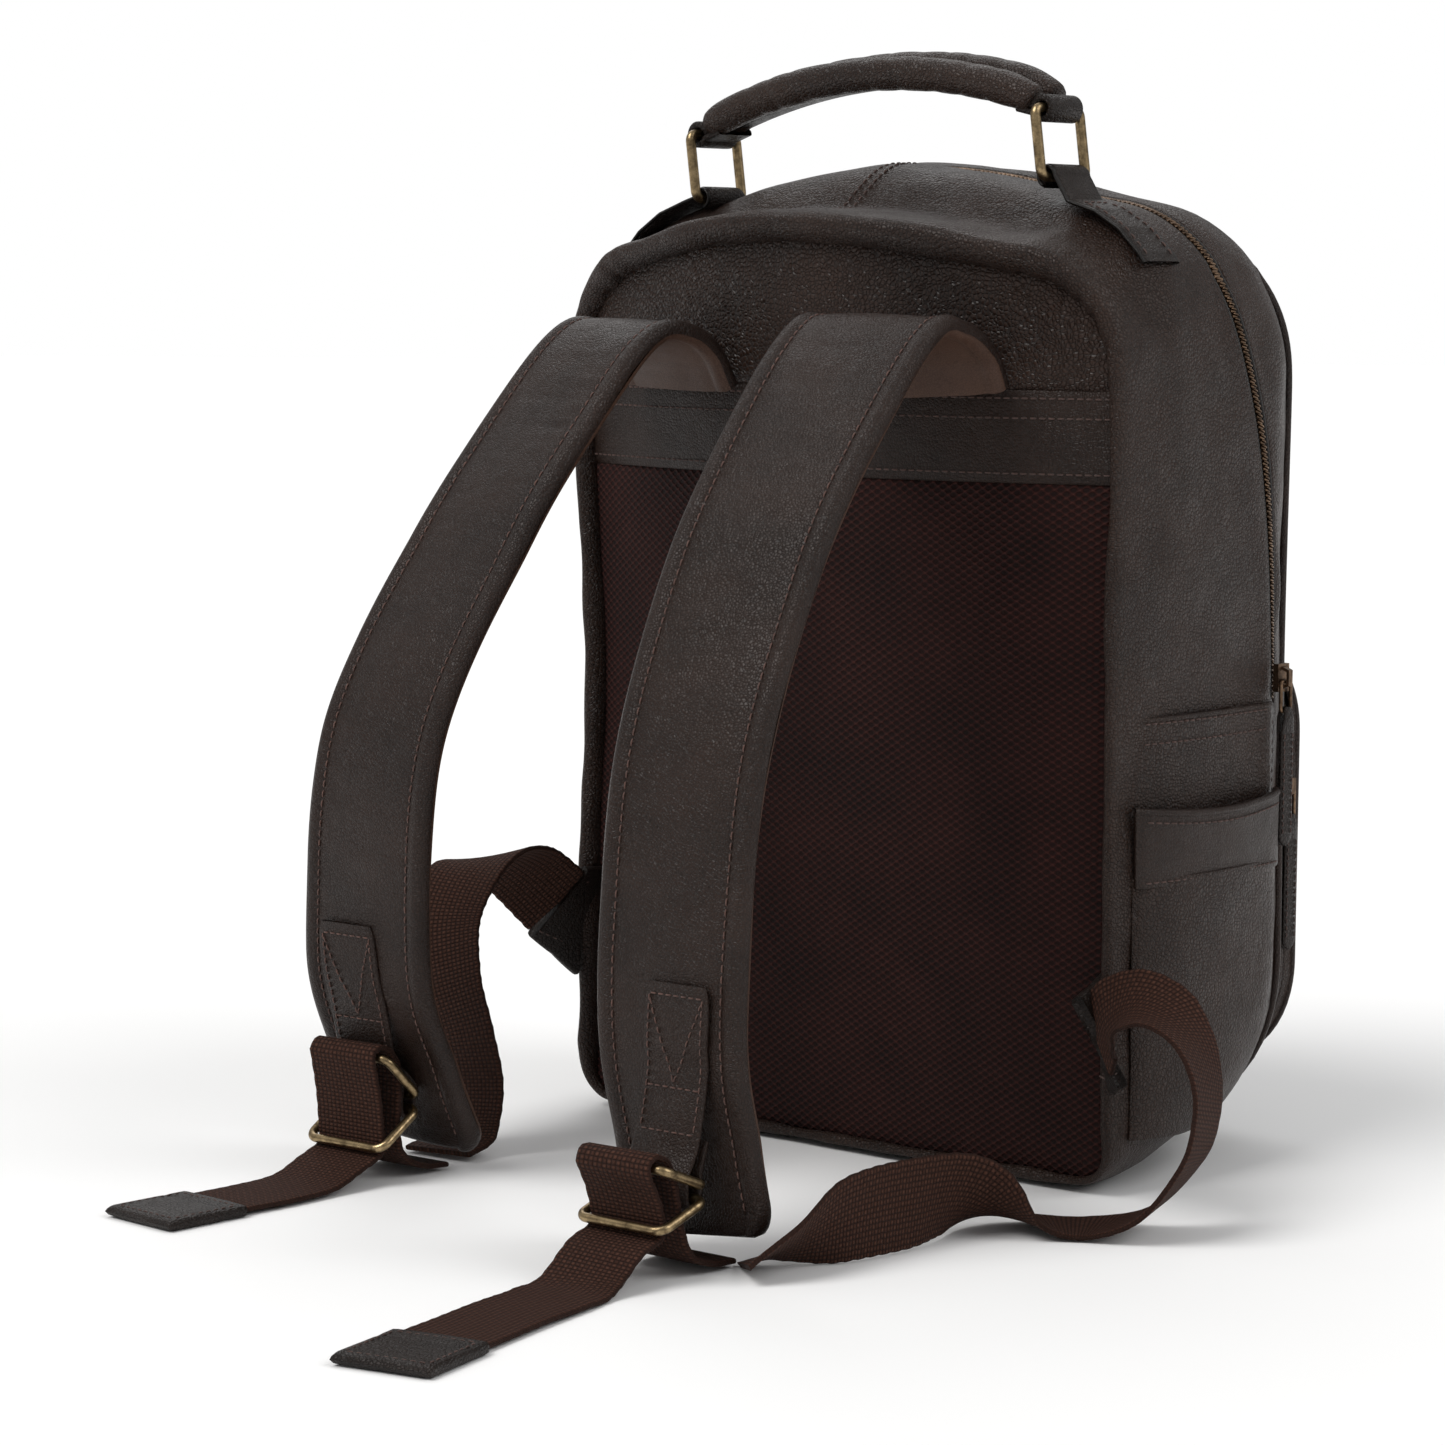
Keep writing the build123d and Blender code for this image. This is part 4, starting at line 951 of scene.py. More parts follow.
gate = 1 / (1 + np.exp(-(pocket_outline(84.0)[:, 2] / MM - 150.0) / 1.2))[:, None]
for word, ys in (("rear", np.linspace(74.6, 79.8, 7)), ("front", np.linspace(88.2, 92.4, 6))):
    closed = np.linspace(74.6, 83.9, 7) if word == "rear" else np.linspace(84.1, 92.4, 6)
    depth = ys[None, :] * gate + closed[None, :] * (1 - gate)
    swell = np.sin(np.linspace(0.15, 1, len(ys)) * pi / 2 if word == "rear"
        else np.linspace(1, 0.3, len(ys)) * pi / 2) * 1.2
    grid = pocket_grid(ys, swell - 0.6)
    grid[..., 1] = depth * MM
    grid = dress(grid, 0.0012, 21.0, 0.05)
    piece = grid_object(f"front_pocket_side_{word}", grid, LEATHER, closed_u=True)
    thicken(piece, 0.0016, 0.0)
    place(piece, "bag", "leather", ["front_pocket_gusset"] if word == "rear" else [])
outline = pocket_outline(92.4, -0.4)
pocket_face = capped_face("front_pocket_face", outline, 0.0926, 0.0042, 24, LEATHER, 23.0, 0.0014)
place(pocket_face, "bag", "leather", ["front_pocket_panel"])
edge_line = pocket_outline(92.6, 0.2)
piece = tube("front_pocket_piping", edge_line, (0.0018, 0.0018), SMOOTH, 10, (0, 1, 0), closed=True)
place(piece, "bag", "leather")
pocket_z = pocket_outline(84.0)[:, 2]
pocket_run = np.where(pocket_z > 0.149)[0]
for word, sign in (("rear", -1), ("front", 1)):
    grid = pocket_grid([84.0 + sign * v for v in (6.6, 4.6, 3.2, 1.6, 0.7)],
        [-2.4, -2.2, -1.5, -2.0, -2.0])[pocket_run]
    piece = thicken(grid_object(f"front_pocket_tape_{word}", grid, TAPE), 0.0007)
    place(piece, "bag", "zipper_tape", ["pocket_zipper_tape"] if sign < 0 else [])
line = pocket_outline(84.0, -0.7)[pocket_run]
outs = pocket_outline(84.0, 0.3)[pocket_run] - line
zipper_teeth("front_pocket_metal_teeth", line, outs, np.broadcast_to([0.0, 1.0, 0.0], line.shape),
    node="pocket_zipper_teeth")

# ------------------------------------------------------------------ pulls: two leather layers with a
# stitched edge


def leather_pull(name, x, y, top, body, node, slot_name):
    length, wide, thick = 0.060, 0.0045, 0.00125
    count = 40
    for layer, sign in (("outer", 1), ("inner", -1)):
        t = np.linspace(0, 1, count)
        z = top - t * length
        half = wide * np.ones(count)
        tail = np.clip((t * length - (length - wide)) / wide, 0, 0.999)
        half *= np.sqrt(1 - tail ** 2)
        head = np.clip((0.010 - t * length) / 0.010, 0, 1)
        half *= 1 - 0.45 * head
        loop = np.clip((0.0045 - t * length) / 0.0045, 0, 1)
        centre = x + sign * (0.0009 + 0.0009 * (1 - loop) * np.clip((0.012 - t * length) / 0.008, 0, 1))
        profile = [(-1, -0.2), (-1, 0.35), (-0.8, 0.75), (-0.35, 0.95), (0.35, 0.95), (0.8, 0.75),
            (1, 0.35), (1, -0.2), (0.8, -0.75), (-0.8, -0.75)]
        grid = np.zeros((count, len(profile), 3))
        for q, (a, b) in enumerate(profile):
            grid[:, q] = np.stack([centre + sign * b * thick * 0.75, y + a * half, z], 1)
        piece = grid_object(f"{name}_{layer}", grid, TAB, closed_v=True, flip=sign < 0)
        place(piece, body, slot_name, [node] if sign > 0 else [])
    t = np.linspace(0, 1, 60)
    for side in (-1, 1):
        path = np.stack([np.full(60, x + 0.0019), y + side * 0.0031 * np.ones(60), top - 0.011 - t * 0.044],
            1)
        stitches(f"{name}_stitches_{DEPTH[side]}", path, np.broadcast_to([1.0, 0, 0], path.shape), body,
            *PULL_STITCH, material=DARK_THREAD)


leather_pull("main_zipper_pull", 0.15435, 0.050, 0.1965, "main_pull", "main_pull_tab", "pull_leather")
leather_pull("pocket_zipper_pull", 0.13515, 0.084, 0.1455, "pocket_pull", "pocket_pull_tab", "pull_leather")
paint(("main_slider", "main_pull_link", "pocket_slider", "pocket_pull_link"), TEETH)

# ------------------------------------------------------------------ handle
paint([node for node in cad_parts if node.startswith(("handle_ring", "cinch_ring"))], BRASS)
paint(("back_board", "base_board"), BOARD)
paint(("laptop_divider",), LINING)

LEAN = radians(8.0)
RING_Y = -0.035
FOOT = {"right": (0.095, 0.4204), "left": (-0.095, 0.4128)}
RING_TALL = 0.0285
TOP = {w: (p[0] - RING_TALL * sin(LEAN), p[1] + RING_TALL * cos(LEAN)) for w, p in FOOT.items()}
RISE = 0.0165


def handle_arc(inset, lift, count=80, rise=RISE, shift=0.0):
    """Points along the arched handle between the rings' upper bars."""
    (lx, lz), (rx, rz) = TOP["left"], TOP["right"]
    t = np.linspace(0, 1, count)
    x = lx + inset + (rx - lx - 2 * inset) * t
    u = (x - lx) / (rx - lx)
    z = lz + (rz - lz) * u + 4 * rise * u * (1 - u) + lift
    return np.stack([x, np.full(count, RING_Y + shift), z], 1)


def handle_roll(name, shift, lift, node, seed):
    path = handle_arc(0.0058, lift, 110, shift=shift)
    ends = np.minimum(np.arange(110), np.arange(110)[::-1])
    path[:, 2] -= 0.55 * lift * np.exp(-ends / 5.0)
    path[:, 1] -= 0.10 * shift * np.exp(-ends / 4.0)
    close = (np.sqrt(np.clip(ends / 1.2, 0.0, 1.0)) * 0.12 + 0.88) * (1 - 0.16 * np.exp(-ends / 4.0))
    radii = np.stack([0.0075 * close, 0.0073 * close], 1)
    grid = tube_grid(path, radii, 28)
    away = unit(grid - path[:, None, :])
    s = np.linspace(0, 1, 110)[:, None]
    creases = np.abs(np.sin(s * 34 + wobble(grid, 0.03, 2.5, seed))) ** 6 * -0.0003
    grid = grid + away * (wobble(grid, 0.03, 0.0005, seed) + creases)[..., None]
    piece = grid_object(name, with_ends(grid), ROLLED, closed_v=True)
    place(piece, "handle", "leather", [node])


handle_roll("handle_roll_wearer_side", -0.0077, 0.0034, "handle_roll_rear", 31.0)
handle_roll("handle_roll_front_side", 0.0077, 0.0062, "handle_roll_front", 33.0)

# strap inside the handle, with its loops round the ring bars
path = handle_arc(0.004, 0.0, 90)
half_wide = 0.011
profile = [(-1, -0.6), (-1, 0.6), (-0.9, 1), (0.9, 1), (1, 0.6), (1, -0.6), (0.9, -1), (-0.9, -1)]
grid = np.stack([np.stack([path[:, 0], RING_Y + a * half_wide * np.ones(90), path[:, 2] + b * 0.0019], 1)
    for a, b in profile], 1)
inner = grid_object("handle_core_strap", grid, TAB, closed_v=True)
place(inner, "handle", "leather", ["handle_strap"])


def loop_band(name, centre, radius, start, stop, half_width, thick, material, body, y=RING_Y, tail=None,
        slot_name="leather"):
    """Leather wrapped round a bar that runs along Y, with an optional tail path in X and Z."""
    angles = np.linspace(start, stop, 40)
    path = [(centre[0] + radius * cos(a), centre[1] + radius * sin(a)) for a in angles]
    path = np.array(path + list(tail or []))
    path = even(np.hstack([path, np.zeros((len(path), 1))]), 110)[:, :2]
    step = np.gradient(path, axis=0)
    normal = np.stack([step[:, 1], -step[:, 0]], 1)
    normal = unit(normal)
    profile = [(-1, -0.5), (-1, 0.5), (-0.93, 0.95), (-0.6, 1.0), (0.6, 1.0), (0.93, 0.95), (1, 0.5),
        (1, -0.5), (0.93, -0.95), (-0.93, -0.95)]
    grid = np.zeros((len(path), len(profile), 3))
    for q, (a, b) in enumerate(profile):
        spot = path + normal * b * thick / 2
        grid[:, q] = np.stack([spot[:, 0], np.full(len(path), y + a * half_width), spot[:, 1]], 1)
    piece = grid_object(name, grid, material, closed_v=True)
    place(piece, body, slot_name)
    return piece, path, normal


for word, sign in (("right", 1), ("left", -1)):
    cx, cz = TOP[word]
    # loop of the handle strap round the ring's top bar
    start, stop = (pi * 0.86, -pi * 0.86) if sign > 0 else (pi * 0.14, pi * 1.86)
    arc = handle_arc(0.013, 0.0, 2)
    end = arc[-1] if sign > 0 else arc[0]
    loop_band(f"handle_loop_{word}", (cx, cz), 0.0044, start, stop, 0.0112, 0.0030, TAB, "handle",
        tail=[(end[0], end[2] - 0.0035)])
    # anchor tab: wraps the lower bar, then runs down over the shoulder
    fx, fz = FOOT[word]
    pick = np.where((SIDE == sign) & ((KIND == 3) | (KIND == 4) | (KIND == 2)))[0]
    surface = body_grid(np.full((ROUND, 1), -35.0), 2.2)[pick, 0]
    order = np.argsort(surface[:, 0] * sign)
    surface = surface[order]
    run = surface[(surface[:, 0] * sign > 0.104) & (surface[:, 2] > 0.380)]
    run = run[np.argsort(-run[:, 2])]
    tail = [(p[0], p[2]) for p in run[::3]]
    tail.append((run[-1][0], run[-1][2]))
    start, stop = (-pi * 0.62, -pi * 0.62 - pi * 1.35) if sign > 0 else (-pi * 0.38, -pi * 0.38 + pi * 1.35)
    piece, path, normal = loop_band(f"handle_anchor_tab_{word}", (fx, fz), 0.0041, start, stop, 0.0115,
        0.0024, TAB, "bag", tail=tail)
    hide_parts(f"handle_anchor_{word}")
    for side in (-1, 1):
        keep = slice(52, 106)
        line = np.stack([path[keep, 0], np.full(54, RING_Y + side * 0.0088), path[keep, 1]], 1)
        outs = np.stack([normal[keep, 0], np.zeros(54), normal[keep, 1]], 1)
        flip = 1.0 if outs[20, 2] > 0 else -1.0
        outs = outs * flip
        stitches(f"anchor_{word}_stitches_{DEPTH[side]}", line + outs * 0.00125, outs, "bag",
            material=DARK_THREAD)
        edge = np.stack([path[:, 0], np.full(110, RING_Y + side * 0.0116), path[:, 1]], 1)
        bead = tube(f"anchor_{word}_edge_{DEPTH[side]}", edge, (0.0008, 0.0013), EDGE, 8, (0, 1, 0))
        place(bead, "bag", "leather")
    spot, out = path[50], normal[50]
    flip = 1.0 if out[1] > 0 else -1.0
    line = np.stack([np.full(30, spot[0]), np.linspace(-0.0088, 0.0088, 30) + RING_Y, np.full(30, spot[1])],
        1)
    outs = np.broadcast_to([out[0] * flip, 0.0, out[1] * flip], line.shape)
    stitches(f"anchor_{word}_cross_stitches", line + outs * 0.00125, outs, "bag", material=DARK_THREAD)

# stitch rows between the handle rolls and the strap
for word, shift, lift in (("wearer", -0.0006, 0.0068), ("front", 0.0006, 0.0078)):
    path = handle_arc(0.018, lift - 0.001, 80, shift=shift)
    stitches(f"handle_stitches_{word}", path, np.broadcast_to([0.0, 0.0, 1.0], path.shape), "handle",
        material=DARK_THREAD)

# ------------------------------------------------------------------ shoulder straps
STRAP_ROUTES = {
    "right": [(68, -86, 334), (69, -96, 349), (70, -115, 360), (72, -138, 360), (75, -172, 331),
              (79, -221, 270), (84, -260, 190), (89, -275, 95), (93, -270, 45), (97, -264, 9)],
    "left": [(-68, -86, 334), (-69, -95, 348), (-70, -112, 358), (-73, -133, 357), (-77, -162, 330),
             (-84, -208, 270), (-94, -250, 190), (-102, -251, 95), (-107, -230, 45), (-112, -209, 9)],
}
STRAP_YAW = {"right": (13.0, 1.0), "left": (-10.0, 2.0)}
CINCH = {
    "right": ((96.0, -284.0, 33.0), (-0.93, 0.37), (-0.95, -0.30)),
    "left": ((-108.0, -234.0, 33.0), (-0.72, 0.69), (-0.85, -0.53)),
}
CINCH_LEG, BAR_APART = 26.0, 2.9
STRAP_HALF = 0.035
WEB_HALF, WEB_THICK = 0.0185, 0.0022

# half profile of a strap: share of half width, height over the outer face
OUTER = [(1.000, -5.6), (1.012, -4.2), (1.008, -2.6), (0.985, -1.0), (0.945, 0.15), (0.895, 0.75),
    (0.845, 0.75),
         (0.800, 0.30), (0.770, -0.30), (0.755, -0.45), (0.735, -0.25), (0.690, 0.10), (0.560, 0.50),
         (0.380, 0.80), (0.190, 0.95), (0.0, 1.0)]
UNDER = [(1.000, -5.4), (0.985, -7.0), (0.940, -8.1), (0.880, -8.6), (0.820, -8.4), (0.790, -8.0),
    (0.760, -8.3), (0.600, -8.9), (0.300, -9.1), (0.0, -9.2)]


def strap_frames(word, count=240):
    path = curve_through(np.array(STRAP_ROUTES[word]) * MM, count)
    yaw = np.radians(np.interp(np.linspace(0, 1, count), [0, 1], STRAP_YAW[word]))
    tangent = np.gradient(path, axis=0)
    tangent = unit(tangent)
    across = np.stack([np.cos(yaw), np.sin(yaw), 0 * yaw], 1)
    across -= tangent * (across * tangent).sum(1, keepdims=True)
    across = unit(across)
    outward = np.cross(tangent, across)
    return path, tangent, across, outward


def strap_surface(name, word, half_profile, material, seed, wrinkle):
    path, tangent, across, outward = strap_frames(word)
    count = len(path)
    travel = np.linspace(0, path_length(path), count)
    profile = [(a, b) for a, b in half_profile] + [(-a, b) for a, b in half_profile[-2::-1]]
    share = np.array([p[0] for p in profile])
    high = np.array([p[1] for p in profile]) * MM
    end = np.clip((travel[-1] - travel) / 0.014, 0, 1)
    narrow = 1 - 0.30 * (1 - np.sqrt(np.clip(1 - (1 - end) ** 2, 0, 1)))
    flat = np.sqrt(np.clip(1 - (1 - np.clip((travel[-1] - travel) / 0.004, 0, 1)) ** 2, 0, 1))
    middle = -0.0045
    level = middle + (high[None, :] - middle) * (0.02 + 0.98 * flat[:, None])
    grid = path[:, None] + across[:,
        None] * (share[None, :, None] * STRAP_HALF * narrow[:, None, None]) + outward[:, None] * level[...,
        None]
    s = travel[:, None] / 0.0075
    a = share[None, :]
    stretch = wobble(np.stack([a * 0.03 + 0 * s, travel[:, None] + 0 * a, 0 * a * s], 2), 0.012, 1.0, seed)
    lines = np.sin(2 * pi * s + stretch * 2.4) * 0.5 + np.sin(2 * pi * s * 0.43 + stretch * 3.1)
    inside = np.clip((0.76 - np.abs(a)) / 0.12, 0, 1)
    rib = lines * wrinkle * (0.25
        + 0.75 * np.clip(wobble(grid, 0.05, 1.6, seed + 2), 0, 1)) * inside * flat[:, None]
    broad = wobble(grid, 0.045, 0.0009, seed + 7) * flat[:, None]
    grid = grid + outward[:, None] * (rib + broad)[..., None]
    grid[..., 2] = np.maximum(grid[..., 2], 0.0008)
    piece = grid_object(name, grid, material)
    return piece, grid, outward


def strap_face(word):
    """Outer face line of a strap in its cinch's side view, millimetres outwards and upwards."""
    place_mm, _, _ = CINCH[word]
    yaw = radians(STRAP_YAW[word][1])
    out_dir = np.array([sin(yaw), -cos(yaw), 0.0])
    path, _, _, _ = strap_frames(word)
    relative = path / MM - np.array(place_mm)
    return np.stack([relative @ out_dir, relative[:, 2]], 1)


def plane_band(name, path, origin, out_dir, across, half_width, thick, material, body, slot_name,
        taper=None):
    """Strip whose side view is a path in an upright plane."""
    path = np.asarray(path) * MM
    step = np.gradient(path, axis=0)
    normal = np.stack([step[:, 1], -step[:, 0]], 1)
    normal = unit(normal)
    profile = [(-1, -0.4), (-1, 0.4), (-0.95, 0.9), (-0.7, 1), (0.7, 1), (0.95, 0.9), (1, 0.4), (1, -0.4),
        (0.95, -0.9), (-0.95, -0.9)]
    width = half_width * (np.ones(len(path)) if taper is None else taper)
    grid = np.zeros((len(path), len(profile), 3))
    for q, (a, b) in enumerate(profile):
        spot = path + normal * b * thick / 2
        grid[:, q] = origin + spot[:, :1] * out_dir + spot[:, 1:] * np.array([0, 0, 1.0]) + (a * width)[:,
            None] * across
    piece = grid_object(name, grid, material, closed_v=True)
    place(piece, body, slot_name)
    lines = origin + path[:, :1] * out_dir + path[:, 1:] * np.array([0, 0, 1.0])
    outs = normal[:, :1] * out_dir + normal[:, 1:] * np.array([0, 0, 1.0])
    return piece, lines, outs


def ribbon(name, stations, body, nodes, half=WEB_HALF, thick=WEB_THICK, material=WEBBING,
        slot_name="webbing", count=None, seed=0.0, ride=True, scallop=0.00022, widths=None):
    """Woven band through stations of place and direction across."""
    table = np.array([(*p, *a) for p, a in stations], float)
    table[:, :3] *= MM
    spread = count or int(path_length(table) / 0.0022)
    rows = curve_through(table, spread)
    path, across = rows[:, :3], rows[:, 3:6]
    tangent = np.gradient(path, axis=0)
    tangent = unit(tangent)
    across = across - tangent * (across * tangent).sum(1, keepdims=True)
    across = unit(across)
    normal = np.cross(tangent, across)
    travel = np.concatenate([[0], np.cumsum(np.linalg.norm(np.diff(path, axis=0), axis=1))])
    wide = half * np.ones(len(path)) if widths is None else np.interp(np.linspace(0, 1, len(path)),
        np.linspace(0, 1, len(widths)), widths)
    wide = wide + scallop * np.sin(travel * 2 * pi / 0.0068)
    edge = [(-1.0, 0.0), (-0.985, 0.75)] + [(a, 1.0)
        for a in np.linspace(-0.93, 0.93, 15)] + [(0.985, 0.75), (1.0, 0.0), (0.985, -0.75)]
    edge += [(a, -1.0) for a in np.linspace(0.93, -0.93, 15)] + [(-0.985, -0.75)]
    share = np.array([e[0] for e in edge])
    level = np.array([e[1] for e in edge]) * thick / 2
    grid = path[:, None] + across[:, None] * (share[None, :, None] * wide[:, None, None]) + normal[:,
        None] * level[None, :, None]
    cup = wobble(np.broadcast_to(path[:, None], grid.shape).copy() + share[None, :, None] * 0.006, 0.05,
        0.0009, seed)
    grid = grid + normal[:, None] * cup[..., None]
    grid[..., 2] = np.maximum(grid[..., 2], 0.0003)
    uv = np.stack([share[None, :] * half + 0 * travel[:, None], travel[:, None] + 0 * share[None, :]], 2)
    piece = grid_object(name, grid, material, closed_v=True, uv=uv, caps=True)
    if ride:
        place(piece, body, slot_name, nodes)
    return piece, rows, normal, float(travel[-1])


WEBBING_ROUTES = {
    "right": [
        ((153, -80, 68), (0.62, -0.42, -0.66)), ((160, -85, 79), (0.78, -0.52, -0.35)),
        ((175, -89, 87), (0.66, -0.66, -0.32)), ((192, -92, 86), (0.54, -0.74, -0.34)),
        ((207.5, -95, 77), (0.40, -0.87, -0.18)), ((217, -98, 63.6), (0.33, -0.93, -0.02)),
        ((220, -101, 48.5), (0.31, -0.94, 0.09)), ((217, -106, 30.7), (0.34, -0.93, 0.09)),
        ((201, -114, 9.5), (0.44, -0.89, 0.05)),
        ((178, -123, 2.2), (0.52, -0.85, 0.0)), ((160, -140, 5.6), (0.62, -0.74, 0.20)),
        ((150, -166, 18.2), (0.40, -0.15, 0.90)), ((148, -198, 19.5), (0.10, 0.0, 0.99)),
        ((144, -232, 18.5), (0.25, 0.0, 0.96)), ((136, -257, 12), (0.75, -0.30, 0.58)),
        ((126, -271, 4), (0.50, -0.86, 0.05)),
    ],
    "left": [
        ((-145, -86, 96), (0.50, 0.45, 0.62)), ((-146, -107, 112), (0.70, 0.38, 0.50)),
        ((-142, -130, 121), (0.90, 0.25, 0.25)), ((-139, -152, 117), (0.95, 0.25, 0.0)),
        ((-136, -168, 98), (0.96, 0.20, 0.0)), ((-128, -174, 74), (0.98, 0.10, 0.1)),
        ((-120, -172, 50), (0.98, 0.0, 0.18)), ((-116, -170, 26), (0.97, 0.0, 0.22)),
        ((-114, -176, 8), (0.98, -0.1, 0.05)), ((-112, -196, 3), (0.99, 0.0, 0.0)),
    ],
}
TAB_ROOTS = {"right": ((145.0, -64.0, 68.0), (0.0, 0.0, -1.0)),
    "left": ((-144.0, -64.0, 86.0), (0.0, 0.0, 1.0))}
FLOOR_RUNS = {
    "right": [((101, -352, 2.4), (0.99, -0.12, 0)), ((106, -380, 2.4), (0.97, -0.22, 0)),
              ((112, -408, 2.4), (0.97, -0.22, 0)), ((119, -438, 2.4), (0.97, -0.22, 0))],
    "left": [((-106, -303, 2.4), (1, 0.02, 0)), ((-107, -322, 2.4), (1, 0.02, 0)),
    ((-108, -343, 2.4), (1, 0.02, 0))],
}


def rounded_turn(centre, radius, start, stop, steps):
    angles = np.radians(np.linspace(start, stop, steps + 1))
    return [(centre[0] + radius * cos(a), centre[1] + radius * sin(a)) for a in angles]


def tail_stations(word):
    """Webbing's way from under the strap through the cinch and out along the floor."""
    (px, py, pz), upper_leg, lower_leg = CINCH[word]
    yaw = radians(STRAP_YAW[word][1])
    outwards = np.array([-sin(yaw), cos(yaw), 0.0])
    upper = (-CINCH_LEG * upper_leg[0], CINCH_LEG * upper_leg[1] + BAR_APART)
    lower = (-CINCH_LEG * lower_leg[0], CINCH_LEG * lower_leg[1] - BAR_APART)
    ground = 2.4 - pz
    view = [(-22, ground), (-10, ground + 1), (2, ground + 6), (8, ground + 16)]
    view += [(upper[0] - 11, upper[1] - 8), (upper[0] - 7, upper[1] + 1)]
    view += rounded_turn(upper, 4.6, 125, -30, 4)
    view += [((upper[0] + lower[0]) / 2 - 1.0, (upper[1] + lower[1]) / 2)]
    view += rounded_turn(lower, 4.6, 165, 262, 3)
    view += [(lower[0] + 9, max(lower[1] - 8, ground + 2.5)), (lower[0] + 24, ground + 0.8)]
    across = (outwards[1], -outwards[0], 0.0)
    stations = []
    for out, up in view:
        spot = np.array([px, py, pz]) - outwards * out + np.array([0, 0, up])
        stations.append((tuple(spot), across))
    return stations + FLOOR_RUNS[word]


def row_on_strap(grid, column, outs, lift, first=2, last=-6):
    return grid[first:last, column] + outs[first:last] * lift, outs[first:last]


